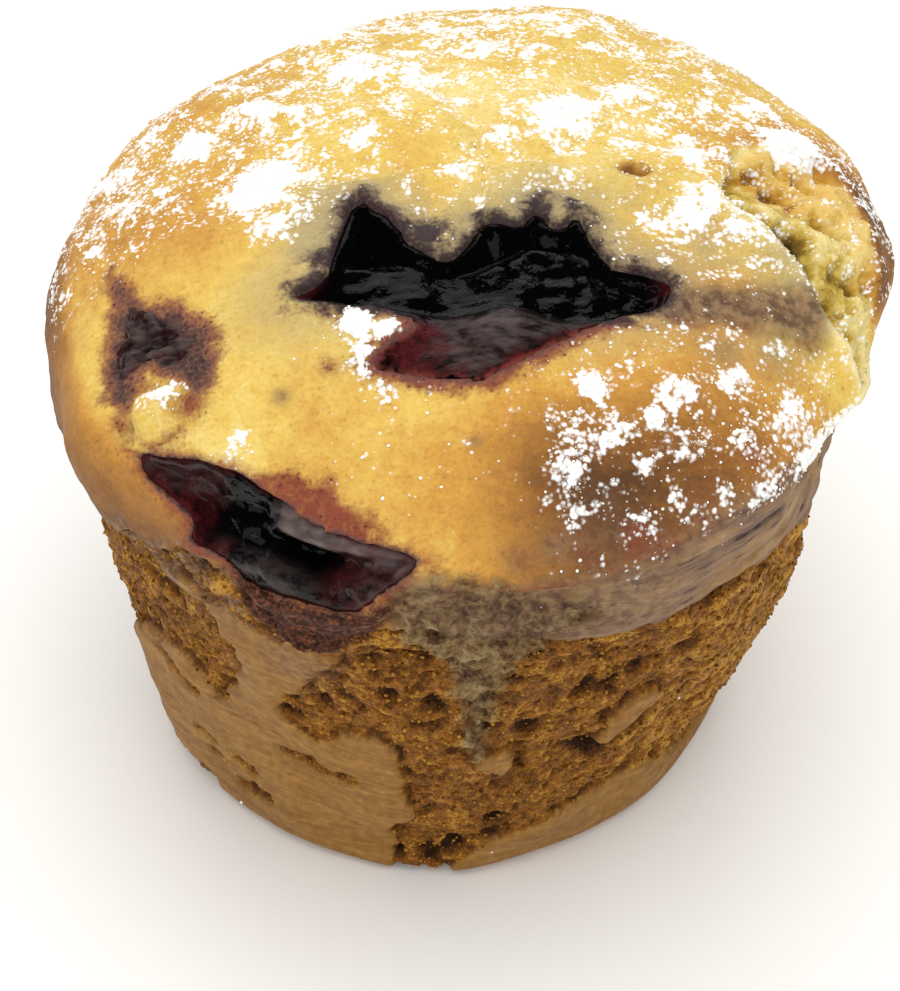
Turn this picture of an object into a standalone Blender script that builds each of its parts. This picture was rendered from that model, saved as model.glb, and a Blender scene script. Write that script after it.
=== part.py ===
"""A muffin with burst berries: one baked body, with three berries set in its crown.

Lengths are in millimetres until a mesh is made, which is in metres. The muffin's front
is -Y and +Z is up. Angles are in degrees, anticlockwise from +X as seen from above.
"""
import math

import bmesh
import bpy
from mathutils import Matrix, Vector

MM = 0.001

# The side has the form of a tin cup, uneven from lifting out of the tin: radii every
# 22.5 degrees round the base and round the line of the tin's rim.
BASE_RADII = (28.0, 28.2, 28.6, 28.0, 28.4, 28.0, 28.6, 28.2,
              28.4, 28.4, 27.4, 27.4, 28.4, 27.0, 27.0, 27.6)
RIM_RADII = (36.0, 36.0, 36.2, 35.8, 36.0, 36.1, 35.8, 35.2,
             34.6, 34.2, 34.8, 35.6, 36.0, 36.1, 36.2, 36.2)
RIM_HEIGHT = 38.0
EDGE_OUT = 2.7
EDGE_UP = 2.4

# The crown rose over the rim: radius and height of its widest line every 45 degrees.
LIP_OUT = 1.2
CROWN_RADII = (38.4, 40.3, 40.0, 37.5, 37.3, 39.5, 40.0, 38.3)
CROWN_HEIGHTS = (51.0, 51.0, 50.2, 48.6, 47.4, 47.2, 48.0, 49.6)
CROWN_TOP = 62.5
CROWN_LEAN = Vector((2.4, -0.1, 0.0))
LEAN_AT_WIDEST = 0.22
SHOULDER_POWER = 0.85
RISE_POWER = 1.15

# Broad lumps of the crumb: depth, waves round the muffin, turn per mm of height, phase.
LUMPS = ((0.35, 5, 0.13, 0.4), (0.25, 9, -0.21, 2.1), (0.20, 14, 0.30, 4.0))

# Mesh of the body. The cap is a square net rounded to a disc, so its edge has as many
# points as the rings: four for each row of the net.
CAP_ROWS = 20
RING_POINTS = 4 * CAP_ROWS
CAP_START = 0.40
CAP_SQUARE_SIZE = 0.85
EDGE_STEPS = (0.0, 0.4, 1.0)
SIDE_ROWS = 10
OVERHANG_ROWS = 5
SHOULDER_ROWS = 8

# Clear space between a berry and the crust round it.
GAP = 0.4
NET_CELL = 1.9
CUTTER_RISE = 5.0
CUTTER_DROP = 9.0
OUTLINE_STEPS = 3

# The middle berry burst along the top and ran over the crust in front of it.
CENTRE_PLACE = ((0.0, 0.0, 61.0), 270.0, 90.0)
CENTRE_OUTLINE = ((-13.7, -16.5), (-11.2, -14.4), (-10.2, -9.5), (-8.3, -5.3), (-6.0, -7.2),
                  (-4.1, -10.5), (-1.6, -11.9), (0.9, -10.2), (1.7, -7.7), (4.6, -7.9),
                  (6.7, -5.2), (8.6, -7.0), (9.8, -5.9), (11.2, -9.5), (12.8, -11.8),
                  (15.8, -12.3), (17.9, -13.2), (16.8, -15.8), (14.0, -17.6), (10.5, -19.5),
                  (7.6, -21.9), (2.8, -25.2), (-1.6, -24.8), (-6.7, -23.5), (-5.0, -21.0),
                  (-3.2, -19.6), (-6.0, -18.1), (-10.1, -17.4))
CENTRE_SINK = 2.4
CENTRE_DEPTH = 6.0
SPILL_FROM_Y = -18.6
SPILL_FULL_Y = -20.4
SPILL_SINK = 0.2
SPILL_DEPTH = 1.8

# The front berry burst through the crown's edge, low on the left of the front.
FRONT_PLACE = ((-14.5, -35.0, 50.0), 247.0, 35.0)
FRONT_OUTLINE = ((-13.2, 3.0), (-10.1, 3.8), (-5.6, 4.6), (-0.6, 3.7), (3.0, 2.6),
                 (6.4, 2.4), (12.4, 2.3), (10.5, -1.0), (8.2, -3.6), (3.3, -4.1),
                 (-0.8, -3.9), (-3.3, -2.4), (-6.2, -2.2), (-7.4, 0.0), (-11.8, 1.5))
FRONT_SINK = 1.8
FRONT_DEPTH = 5.5

# The left berry only shows through a torn patch of the crust.
LEFT_PLACE = ((-26.0, -17.0, 55.5), 213.0, 58.0)
LEFT_OUTLINE = ((-6.0, 0.6), (-3.2, 2.2), (0.6, 3.3), (4.2, 3.0), (5.2, 0.8),
                (2.6, -1.4), (2.0, -4.2), (-0.3, -4.6), (-2.6, -2.4))
LEFT_SINK = 0.6
LEFT_DEPTH = 3.0

# The crust tore open on the right and shows the crumb.
TEAR_PLACE = ((31.0, -2.0, 58.0), 355.0, 50.0)
TEAR_OUTLINE = ((3.5, 11.6), (-1.2, 5.4), (-4.9, 0.6), (-7.7, -1.3), (-11.4, -4.9),
                (-15.8, -6.9), (-7.5, -7.6), (-0.9, -6.8), (3.4, -4.4), (8.6, -2.6),
                (11.5, 2.0), (7.0, 6.7))
TEAR_DEPTH = 2.6
TEAR_WALL = 2.2
TEAR_REACH = 12.0

# A round knob of dough stands between the left and the front berry.
KNOB_CENTRE = Vector((-24.5, -24.3, 53.7))
KNOB_RADIUS = 2.6
KNOB_RISE = 1.6

# A round air hole went through the crust on the right of the top.
AIR_HOLE_CENTRE = Vector((15.2, 1.1, 60.0))
AIR_HOLE_RADIUS = 1.35
AIR_HOLE_DEPTH = 8.0
AIR_HOLE_SIDES = 14

CRUST_COLOUR = (0.604, 0.342, 0.089)
BERRY_COLOUR = (0.010, 0.008, 0.012)


def clamp01(value):
    return min(max(value, 0.0), 1.0)


def smooth_step(start, end, value):
    share = clamp01((value - start) / (end - start))
    return share * share * (3.0 - 2.0 * share)


def catmull_rom(p0, p1, p2, p3, t):
    """Point or value at t between p1 and p2, on a smooth curve through all four."""
    cubic = 3.0 * (p1 - p2) + p3 - p0
    square = 2.0 * p0 - 5.0 * p1 + 4.0 * p2 - p3
    return p1 + 0.5 * t * (p2 - p0 + t * (square + t * cubic))


def ring_value(values, angle):
    """Value at an angle, on a smooth closed curve through evenly spaced values."""
    place = angle / math.tau * len(values)
    first = math.floor(place)
    near = [values[(first + step) % len(values)] for step in (-1, 0, 1, 2)]
    return catmull_rom(*near, place - first)


def smooth_outline(points):
    """Closed smooth outline through 2-D points, as a list of vectors."""
    corners = [Vector(point) for point in points]
    outline = []
    for index in range(len(corners)):
        near = [corners[(index + step) % len(corners)] for step in (-1, 0, 1, 2)]
        outline += [catmull_rom(*near, step / OUTLINE_STEPS) for step in range(OUTLINE_STEPS)]
    return outline


def outline_area(outline):
    """Area inside a closed outline, positive where it runs anticlockwise."""
    pairs = zip(outline, outline[1:] + outline[:1])
    return 0.5 * sum(a.x * b.y - b.x * a.y for a, b in pairs)


def grown(outline, distance):
    """The anticlockwise outline moved outwards by a distance."""
    moved = []
    for index, point in enumerate(outline):
        along = outline[(index + 1) % len(outline)] - outline[index - 1]
        moved.append(point + Vector((along.y, -along.x)).normalized() * distance)
    return moved


def depth_inside(point, outline):
    """Distance from a point to the outline, positive inside and negative outside."""
    nearest = math.inf
    inside = False
    for a, b in zip(outline, outline[1:] + outline[:1]):
        edge = b - a
        share = clamp01((point - a).dot(edge) / edge.length_squared)
        nearest = min(nearest, (point - a - edge * share).length)
        if (a.y > point.y) != (b.y > point.y):
            inside ^= point.x < a.x + (point.y - a.y) / (b.y - a.y) * edge.x
    return nearest if inside else -nearest


def place_matrix(place):
    """Frame on the crust: X runs level to the right, Y up the slope and Z outwards."""
    centre, azimuth, elevation = place
    turn = math.radians(azimuth)
    tilt = math.radians(elevation)
    across = Vector((-math.sin(turn), math.cos(turn), 0.0))
    out = Vector((math.cos(turn) * math.cos(tilt), math.sin(turn) * math.cos(tilt),
                  math.sin(tilt)))
    matrix = Matrix((across, out.cross(across), out)).transposed().to_4x4()
    return Matrix.Translation(Vector(centre)) @ matrix


def ring_point(radius, angle, height, lean):
    flat = Vector((radius * math.cos(angle), radius * math.sin(angle), height))
    return flat + CROWN_LEAN * lean


def edge_point(angle, share):
    """Rounded edge under the side, from the flat base (0) to the side (1)."""
    turn = share * math.pi / 2.0
    radius = ring_value(BASE_RADII, angle) - EDGE_OUT * (1.0 - math.sin(turn))
    return ring_point(radius, angle, EDGE_UP * (1.0 - math.cos(turn)), 0.0)


def side_point(angle, share):
    """Side that baked against the tin, from its foot (0) to the rim's line (1)."""
    foot = ring_value(BASE_RADII, angle)
    radius = foot + (ring_value(RIM_RADII, angle) - foot) * share
    return ring_point(radius, angle, EDGE_UP + (RIM_HEIGHT - EDGE_UP) * share, 0.0)


def overhang_point(angle, share):
    """Underside of the crown, from the rim's line (0) to the widest line (1)."""
    turn = share * math.pi / 2.0
    start = ring_value(RIM_RADII, angle) + LIP_OUT
    radius = start + (ring_value(CROWN_RADII, angle) - start) * math.sin(turn)
    rise = 0.55 * share + 0.45 * (1.0 - math.cos(turn))
    height = RIM_HEIGHT + (ring_value(CROWN_HEIGHTS, angle) - RIM_HEIGHT) * rise
    return ring_point(radius, angle, height, LEAN_AT_WIDEST * share)


def crown_point(angle, share):
    """Top of the crown, from the widest line (0) to its middle (1)."""
    turn = share * math.pi / 2.0
    radius = ring_value(CROWN_RADII, angle) * max(math.cos(turn), 0.0) ** SHOULDER_POWER
    widest = ring_value(CROWN_HEIGHTS, angle)
    height = widest + (CROWN_TOP - widest) * math.sin(turn) ** RISE_POWER
    lean = LEAN_AT_WIDEST + (1.0 - LEAN_AT_WIDEST) * share
    return ring_point(radius, angle, height, lean)


def body_rings():
    """Rings of points from the foot of the body to the edge of its cap."""
    rows = [(edge_point, share) for share in EDGE_STEPS]
    rows += [(side_point, row / SIDE_ROWS) for row in range(1, SIDE_ROWS + 1)]
    rows += [(overhang_point, row / OVERHANG_ROWS) for row in range(OVERHANG_ROWS + 1)]
    rows += [(crown_point, CAP_START * row / SHOULDER_ROWS)
             for row in range(1, SHOULDER_ROWS)]
    angles = [math.tau * index / RING_POINTS - math.pi / 4.0 for index in range(RING_POINTS)]
    return [[point_at(angle, share) for angle in angles] for point_at, share in rows]


def cap_point(column, row):
    """Point of the square net, which is square in its middle and round at its edge."""
    square = Vector((2.0 * column / CAP_ROWS - 1.0, 2.0 * row / CAP_ROWS - 1.0))
    reach = max(abs(square.x), abs(square.y))
    if reach == 0.0:
        return crown_point(0.0, 1.0)
    if abs(square.x) >= abs(square.y):
        angle = math.pi / 4.0 * square.y / square.x + (math.pi if square.x < 0.0 else 0.0)
    else:
        angle = math.pi / 2.0 - math.pi / 4.0 * square.x / square.y
        angle += math.pi if square.y < 0.0 else 0.0
    disc = Vector((math.cos(angle), math.sin(angle))) * reach
    spot = (square * CAP_SQUARE_SIZE).lerp(disc, reach)
    share = 1.0 - (1.0 - CAP_START) * spot.length
    return crown_point(math.atan2(spot.y, spot.x) % math.tau, share)


def cap_border():
    """Columns and rows of the net's border, anticlockwise from its front right corner."""
    side = range(CAP_ROWS)
    right = [(CAP_ROWS, step) for step in side]
    back = [(CAP_ROWS - step, CAP_ROWS) for step in side]
    left = [(0, CAP_ROWS - step) for step in side]
    front = [(step, 0) for step in side]
    return right + back + left + front


def relief_at(point, tear_frame, tear_outline):
    """How far the real skin stands out from the even form at a point."""
    angle = math.atan2(point.y, point.x)
    relief = sum(depth * math.sin(waves * angle + turn * point.z + phase)
                 for depth, waves, turn, phase in LUMPS)
    relief *= smooth_step(0.0, 6.0, point.z)
    knob_share = (point - KNOB_CENTRE).length / KNOB_RADIUS
    relief += KNOB_RISE * math.exp(-knob_share * knob_share)
    local = tear_frame @ point
    if abs(local.z) < TEAR_REACH:
        inside = depth_inside(local.xy, tear_outline)
        relief -= TEAR_DEPTH * smooth_step(0.0, TEAR_WALL, inside)
    return relief


def metres(bm):
    bmesh.ops.scale(bm, vec=(MM, MM, MM), verts=bm.verts)


def new_object(name, bm, smooth=True):
    metres(bm)
    mesh = bpy.data.meshes.new(name)
    bm.to_mesh(mesh)
    bm.free()
    if smooth:
        mesh.shade_smooth()
        mesh.set_sharp_from_angle(angle=math.radians(50.0))
    obj = bpy.data.objects.new(name, mesh)
    bpy.context.scene.collection.objects.link(obj)
    return obj


def guide(obj):
    """Keep an object as a cutter that is not itself part of the muffin."""
    obj.display_type = "WIRE"
    obj.hide_render = True
    return obj


def boolean(obj, operation, other):
    modifier = obj.modifiers.new(other.name, "BOOLEAN")
    modifier.operation = operation
    modifier.solver = "EXACT"
    modifier.object = other


def bridge_rings(bm, lower, upper):
    for index in range(len(lower)):
        after = (index + 1) % len(lower)
        bm.faces.new((lower[index], lower[after], upper[after], upper[index]))


def body_mesh():
    """Body before its berries are cut in: flat base, rings of the side and a cap."""
    bm = bmesh.new()
    rings = [[bm.verts.new(point) for point in ring] for ring in body_rings()]
    net = {(column, row): bm.verts.new(cap_point(column, row))
           for column in range(CAP_ROWS + 1) for row in range(CAP_ROWS + 1)}
    rings.append([net[place] for place in cap_border()])
    for lower, upper in zip(rings, rings[1:]):
        bridge_rings(bm, lower, upper)
    for column in range(CAP_ROWS):
        for row in range(CAP_ROWS):
            corners = ((0, 0), (1, 0), (1, 1), (0, 1))
            bm.faces.new([net[column + right, row + up] for right, up in corners])
    bm.faces.new(list(reversed(rings[0])))
    tear_frame = place_matrix(TEAR_PLACE).inverted()
    tear_outline = smooth_outline(TEAR_OUTLINE)
    bm.normal_update()
    raised = [vert for vert in bm.verts if vert.co.z > 0.0]
    moves = [vert.normal * relief_at(vert.co, tear_frame, tear_outline) for vert in raised]
    for vert, move in zip(raised, moves):
        vert.co += move
    return bm


def crust_height(body, place, x, y):
    """Height of the crust over a berry's frame, at a place in that frame."""
    frame = place_matrix(place)
    start = frame @ Vector((x, y, CUTTER_RISE * 2.0)) * MM
    hit, spot, _, _ = body.ray_cast(start, -frame.col[2].to_3d())
    return (frame.inverted() @ (spot / MM)).z if hit else 0.0


def crust_slab(name, body, place, outline, top_of, bottom_of):
    """Slab that follows the crust, with its top and bottom a given way off the crust."""
    low = Vector((min(p.x for p in outline), min(p.y for p in outline)))
    high = Vector((max(p.x for p in outline), max(p.y for p in outline)))
    low -= Vector((NET_CELL, NET_CELL))
    high += Vector((NET_CELL, NET_CELL))
    columns = math.ceil((high.x - low.x) / NET_CELL)
    rows = math.ceil((high.y - low.y) / NET_CELL)
    bm = bmesh.new()
    bmesh.ops.create_grid(bm, x_segments=columns, y_segments=rows, size=0.5)
    lower = list(bm.verts)
    flat = bmesh.ops.extrude_face_region(bm, geom=list(bm.faces))["geom"]
    upper = [item for item in flat if isinstance(item, bmesh.types.BMVert)]
    frame = place_matrix(place)
    for verts, offset_of in ((lower, bottom_of), (upper, top_of)):
        for vert in verts:
            x = low.x + (vert.co.x + 0.5) * (high.x - low.x)
            y = low.y + (vert.co.y + 0.5) * (high.y - low.y)
            crust = crust_height(body, place, x, y)
            vert.co = frame @ Vector((x, y, crust + offset_of(x, y)))
    bmesh.ops.recalc_face_normals(bm, faces=bm.faces)
    return new_object(name, bm)


def outline_prism(name, place, outline):
    """Straight-sided prism of an outline, right through the crust."""
    frame = place_matrix(place)
    bm = bmesh.new()
    lower = [bm.verts.new(frame @ Vector((p.x, p.y, -2.0 * CUTTER_DROP))) for p in outline]
    upper = [bm.verts.new(frame @ Vector((p.x, p.y, 2.0 * CUTTER_RISE))) for p in outline]
    bridge_rings(bm, lower, upper)
    bm.faces.new(upper)
    bm.faces.new(list(reversed(lower)))
    return guide(new_object(name, bm, smooth=False))


def berry(name, body, place, points, sink_at, depth_at):
    """One berry and the hollow that it fills, both cut to the outline of its tear."""
    outline = smooth_outline(points)
    if outline_area(outline) < 0.0:
        outline.reverse()
    flesh = crust_slab(name, body, place, outline,
                       lambda x, y: -sink_at(x, y), lambda x, y: -depth_at(x, y))
    hollow = guide(crust_slab(name + "_hollow", body, place, outline,
                              lambda x, y: CUTTER_RISE,
                              lambda x, y: -depth_at(x, y) - GAP))
    boolean(flesh, "INTERSECT", outline_prism(name + "_tear", place, outline))
    wider = grown(outline, GAP)
    boolean(hollow, "INTERSECT", outline_prism(name + "_tear_wide", place, wider))
    return flesh, hollow


def air_hole():
    bm = bmesh.new()
    place = Matrix.Translation(AIR_HOLE_CENTRE)
    bmesh.ops.create_cone(bm, cap_ends=True, segments=AIR_HOLE_SIDES,
                          radius1=AIR_HOLE_RADIUS * 0.7, radius2=AIR_HOLE_RADIUS,
                          depth=AIR_HOLE_DEPTH, matrix=place)
    return guide(new_object("air_hole", bm, smooth=False))


def ripple(x, y):
    """Small waves on the burst flesh of a berry."""
    return 0.35 * math.sin(0.9 * x + 0.4 * y) * math.cos(0.8 * y - 0.3 * x)


def spill_share(y):
    """1 where the middle berry lies on the crust in front of its tear, 0 inside it."""
    return smooth_step(SPILL_FROM_Y, SPILL_FULL_Y, y)


def centre_sink(x, y):
    share = spill_share(y)
    return (CENTRE_SINK + ripple(x, y)) * (1.0 - share) + SPILL_SINK * share


def centre_depth(x, y):
    share = spill_share(y)
    return CENTRE_DEPTH * (1.0 - share) + SPILL_DEPTH * share


def material(name, colour, roughness):
    mat = bpy.data.materials.new(name)
    mat.use_nodes = True
    shader = mat.node_tree.nodes["Principled BSDF"]
    shader.inputs["Base Color"].default_value = (*colour, 1.0)
    shader.inputs["Roughness"].default_value = roughness
    shader.inputs["Metallic"].default_value = 0.0
    return mat


def stand_at_origin(objects, body):
    """Move everything so that the origin is under the middle of the body."""
    corners = [Vector(corner) for corner in body.bound_box]
    middle = (corners[0] + corners[6]) / 2.0
    for obj in objects:
        obj.location = (-middle.x, -middle.y, 0.0)


def build():
    for obj in list(bpy.data.objects):
        bpy.data.objects.remove(obj, do_unlink=True)
    body = new_object("muffin_body", body_mesh())
    bpy.context.view_layer.update()
    berries = [
        berry("berry_centre", body, CENTRE_PLACE, CENTRE_OUTLINE, centre_sink, centre_depth),
        berry("berry_front", body, FRONT_PLACE, FRONT_OUTLINE,
              lambda x, y: FRONT_SINK + ripple(x, y), lambda x, y: FRONT_DEPTH),
        berry("berry_left", body, LEFT_PLACE, LEFT_OUTLINE,
              lambda x, y: LEFT_SINK + 0.5 * ripple(x, y), lambda x, y: LEFT_DEPTH),
    ]
    for flesh, hollow in berries:
        boolean(body, "DIFFERENCE", hollow)
    boolean(body, "DIFFERENCE", air_hole())
    stand_at_origin(list(bpy.data.objects), body)
    body.data.materials.append(material("baked_crust", CRUST_COLOUR, 0.75))
    flesh_material = material("burst_berry", BERRY_COLOUR, 0.2)
    for flesh, hollow in berries:
        flesh.data.materials.append(flesh_material)


build()
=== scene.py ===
import math

import bpy
import numpy as np
from mathutils import Matrix, Vector, noise
from mathutils.bvhtree import BVHTree


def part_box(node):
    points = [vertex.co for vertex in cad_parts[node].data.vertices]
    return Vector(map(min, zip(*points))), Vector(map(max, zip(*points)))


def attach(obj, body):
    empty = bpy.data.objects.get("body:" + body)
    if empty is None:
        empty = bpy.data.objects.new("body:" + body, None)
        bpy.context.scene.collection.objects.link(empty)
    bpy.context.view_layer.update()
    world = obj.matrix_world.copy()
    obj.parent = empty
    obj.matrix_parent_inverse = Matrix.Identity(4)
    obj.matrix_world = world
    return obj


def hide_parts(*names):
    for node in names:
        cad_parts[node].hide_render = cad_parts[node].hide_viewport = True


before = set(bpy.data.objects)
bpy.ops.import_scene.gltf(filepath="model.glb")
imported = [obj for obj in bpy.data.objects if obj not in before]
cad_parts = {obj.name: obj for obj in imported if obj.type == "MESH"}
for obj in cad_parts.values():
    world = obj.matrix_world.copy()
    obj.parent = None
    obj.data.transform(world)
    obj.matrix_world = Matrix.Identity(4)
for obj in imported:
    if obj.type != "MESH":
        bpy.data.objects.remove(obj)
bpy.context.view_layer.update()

# THE BAKED BODY, ITS FORM
# The muffin itself is soft crumb that baked against a tin cup, so its side has the cup's
# cone, and its crown rose over the rim. All lengths here are in mm; the front is -Y.

MM = 0.001
base_radii = np.array((28.0, 28.2, 28.6, 28.0, 28.4, 28.0, 28.6, 28.2,
                       28.4, 29.0, 28.3, 28.1, 28.4, 27.0, 26.8, 27.2))
rim_radii = np.array((36.0, 36.0, 36.2, 35.8, 36.0, 36.1, 35.8, 35.2,
                      34.6, 34.2, 34.8, 35.6, 36.0, 36.1, 36.2, 36.2))
crown_radii = np.array((38.4, 40.3, 40.0, 37.5, 37.3, 39.5, 40.0, 38.3))
crown_heights = np.array((51.0, 51.0, 50.2, 48.6, 47.4, 47.2, 48.0, 49.6))
rim_height = 38.0
crown_top = 62.5
edge_out, edge_up, lip_out = 2.7, 2.4, 1.2
crown_lean = np.array((2.4, -0.1, 0.0))
lean_at_widest = 0.22
lumps = ((0.35, 5, 0.13, 0.4), (0.25, 9, -0.21, 2.1), (0.20, 14, 0.30, 4.0))

# Where the side, the overhang and the crown start, along the profile from the foot.
side_from, overhang_from, crown_from, crown_to = 4.0, 40.0, 53.0, 97.0


def clamp01(value):
    return np.clip(value, 0.0, 1.0)


def smooth_step(start, end, value):
    share = clamp01((value - start) / (end - start))
    return share * share * (3.0 - 2.0 * share)


def bell(away, width, power=2):
    """1 where away is 0, falling smoothly to nearly 0 at twice the width."""
    return np.exp(-(away / width) ** power)


def through(p0, p1, p2, p3, t):
    """Point or value at t between p1 and p2, on a smooth curve through all four."""
    cubic = 3.0 * (p1 - p2) + p3 - p0
    square = 2.0 * p0 - 5.0 * p1 + 4.0 * p2 - p3
    return p1 + 0.5 * t * (p2 - p0 + t * (square + t * cubic))


def ring_value(values, angle):
    """Value at each angle, on a smooth closed curve through evenly spaced values."""
    place = angle / math.tau * len(values)
    first = np.floor(place).astype(int)
    beside = (values[(first + step) % len(values)] for step in (-1, 0, 1, 2))
    return through(*beside, place - first)


def body_form(angle, climb):
    """Even form of the body at an angle and a climb, which is mm along its profile."""
    foot, rim = ring_value(base_radii, angle), ring_value(rim_radii, angle)
    widest, level = ring_value(crown_radii, angle), ring_value(crown_heights, angle)
    turn = clamp01(climb / side_from) * math.pi / 2
    radius = foot - edge_out * (1 - np.sin(turn))
    height = edge_up * (1 - np.cos(turn))
    share = clamp01((climb - side_from) / (overhang_from - side_from))
    radius = np.where(climb > side_from, foot + (rim - foot) * share, radius)
    height = np.where(climb > side_from, edge_up + (rim_height - edge_up) * share, height)
    share = clamp01((climb - overhang_from) / (crown_from - overhang_from))
    turn = share * math.pi / 2
    lip = rim + lip_out * smooth_step(0.0, 0.08, share)
    under = climb > overhang_from
    radius = np.where(under, lip + (widest - lip) * np.sin(turn), radius)
    rise = 0.55 * share + 0.45 * (1 - np.cos(turn))
    height = np.where(under, rim_height + (level - rim_height) * rise, height)
    lean = lean_at_widest * share
    share = clamp01((climb - crown_from) / (crown_to - crown_from))
    turn = share * math.pi / 2
    top = climb > crown_from
    radius = np.where(top, widest * np.maximum(np.cos(turn), 0.0) ** 0.85, radius)
    height = np.where(top, level + (crown_top - level) * np.sin(turn) ** 1.15, height)
    lean = lean + (1 - lean_at_widest) * share
    spot = np.stack((radius * np.cos(angle), radius * np.sin(angle), height), axis=-1)
    return spot + crown_lean * lean[..., None]


# The skin is a stack of rings, closed by a square net that is rounded to a disc. Points
# stand closer together towards the front, where the burst berries are.
ring_points, ring_count, net_rows = 384, 212, 96
net_from = 77.0
front_crowding = 0.26
net_square_size = 0.85


def crowded(even):
    return even - front_crowding * np.sin(even + math.pi / 2)


def net_places():
    """Angle and climb of each point of the net, row by row."""
    column, row = np.meshgrid(np.arange(net_rows + 1), np.arange(net_rows + 1))
    square = np.stack((column.ravel(), row.ravel()), axis=1) * 2.0 / net_rows - 1.0
    x, y = square.T
    reach = np.maximum(np.abs(x), np.abs(y))
    level = np.abs(x) >= np.abs(y)
    safe_x, safe_y = np.where(x == 0, 1.0, x), np.where(y == 0, 1.0, y)
    even = np.where(level, math.pi / 4 * y / safe_x + math.pi * (x < 0),
                    math.pi / 2 - math.pi / 4 * x / safe_y + math.pi * (y < 0))
    disc = np.stack((np.cos(even), np.sin(even)), axis=1) * reach[:, None]
    spot = square * net_square_size * (1 - reach[:, None]) + disc * reach[:, None]
    climb = crown_to - (crown_to - net_from) * np.linalg.norm(spot, axis=1)
    return crowded(np.arctan2(spot[:, 1], spot[:, 0])), climb


def body_places():
    """Angle and climb of every point: the rings from the foot up, then the net."""
    even = math.tau * np.arange(ring_points) / ring_points - math.pi / 4
    climbs = np.linspace(0.0, net_from, ring_count + 1)[:-1]
    angle, climb = net_places()
    return (np.concatenate((np.tile(crowded(even), ring_count), angle)),
            np.concatenate((np.repeat(climbs, ring_points), climb)))


def body_faces():
    """Quads of the rings and the net, then the flat base as one face."""
    net_start = ring_points * ring_count
    net = net_start + np.arange((net_rows + 1) ** 2).reshape(net_rows + 1, net_rows + 1)
    border = np.concatenate((net[:-1, -1], net[-1, :0:-1], net[:0:-1, 0], net[0, :-1]))
    rings = np.vstack((np.arange(net_start).reshape(ring_count, ring_points), border))
    lower, upper = rings[:-1], rings[1:]
    side = np.stack((lower, np.roll(lower, -1, axis=1), np.roll(upper, -1, axis=1), upper),
                    axis=-1).reshape(-1, 4)
    cap = np.stack((net[:-1, :-1], net[:-1, 1:], net[1:, 1:], net[1:, :-1]),
                   axis=-1).reshape(-1, 4)
    return side.tolist() + cap.tolist() + [rings[0, ::-1].tolist()]


def unit(vectors):
    return vectors / np.maximum(np.linalg.norm(vectors, axis=-1, keepdims=True), 1e-9)


def form_normals(angle, climb):
    step = 0.02
    round_it = body_form(angle + step / 30, climb) - body_form(angle - step / 30, climb)
    up_it = body_form(angle, climb + step) - body_form(angle, climb - step)
    normals = unit(np.cross(round_it, up_it))
    normals[climb > crown_to - 0.6] = (0.0, 0.0, 1.0)
    return normals


def grain(points, size, seed, octaves=1):
    """Soft seeded noise between about -1 and 1, with features of a size in mm."""
    shift = Vector((17.3 * seed, 5.1 * seed, 9.7 * seed))
    spots = (Vector(point) / size + shift for point in points)
    return np.array([noise.fractal(spot, 0.8, 2.1, octaves) for spot in spots])


def cells(points, size, seed):
    """Distance to the nearest of scattered seeds, and to the next, in shares of size."""
    shift = Vector((3.7 * seed, 11.9 * seed, 7.1 * seed))
    spots = (Vector(point) / size + shift for point in points)
    return np.array([noise.voronoi(spot)[0][:2] for spot in spots]).T


body_angle, body_climb = body_places()
body_quads = body_faces()
form = body_form(body_angle, body_climb)
out = form_normals(body_angle, body_climb)
azimuth = np.degrees(body_angle) % 360.0
# The same degrees counted on past 360, so that they break straight behind and not at the right.
round_degrees = np.where(azimuth < 90.0, azimuth + 360.0, azimuth)
on_crown = smooth_step(overhang_from + 6, crown_from + 2, body_climb)
on_skirt = smooth_step(overhang_from, overhang_from + 1, body_climb) * (1 - on_crown)

relief = sum(depth * np.sin(waves * body_angle + turn * form[:, 2] + phase)
             for depth, waves, turn, phase in lumps)
relief += 0.34 * grain(form, 8.0, 1) + 0.20 * grain(form, 3.1, 2, 2) + 0.06 * grain(form, 1.2, 3)

# The skin under the crown stretched as the crown rose, so its ridges run round the muffin.
stretched = np.stack((np.radians(round_degrees) * 38.0 / 9.0, body_climb / 1.15,
                      form[:, 2] * 0.0), axis=1)
stretched_front = smooth_step(255.0, 272.0, round_degrees) * smooth_step(405.0, 370.0, round_degrees)
skirt_ridges = grain(stretched, 1.0, 4, 3)
# The ridges fade out behind, where the count of degrees breaks.
ridge_height = 0.08 * smooth_step(4.0, 24.0, np.abs(azimuth - 90.0)) + 0.34 * stretched_front
relief += on_skirt * skirt_ridges * ridge_height

# A slit opened in the stretched skin at the right. Its colour is darkened as painted shade.
slit_line = 52.6 - 0.10 * (azimuth - 306.0) + 0.4 * skirt_ridges
slit = bell(body_climb - slit_line, 0.42)
slit *= smooth_step(300.0, 312.0, azimuth) * smooth_step(338.0, 326.0, azimuth)
relief -= 0.6 * slit

# Below the torn place the side stands in, and the crown's edge there is a sharp ridge.
ridge_degrees = 345.0
from_ridge = (azimuth - ridge_degrees + 180.0) % 360.0 - 180.0
ridge_reach = np.where(from_ridge > 0.0, 44.0, 24.0)
inward = 1.8 * bell(from_ridge - 1.0, 9.0) * smooth_step(66.0, 60.0, body_climb)
below_ridge = (1.4 * smooth_step(28.0, 38.0, body_climb) + 1.2 * smooth_step(40.0, 41.0, body_climb)
               + 0.2 * smooth_step(43.0, 50.0, body_climb))
below_ridge *= bell(from_ridge, ridge_reach, 4) * smooth_step(59.0, 50.0, body_climb)
pulled_in = np.maximum(inward * smooth_step(38.0, 47.0, body_climb), below_ridge)
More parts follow.
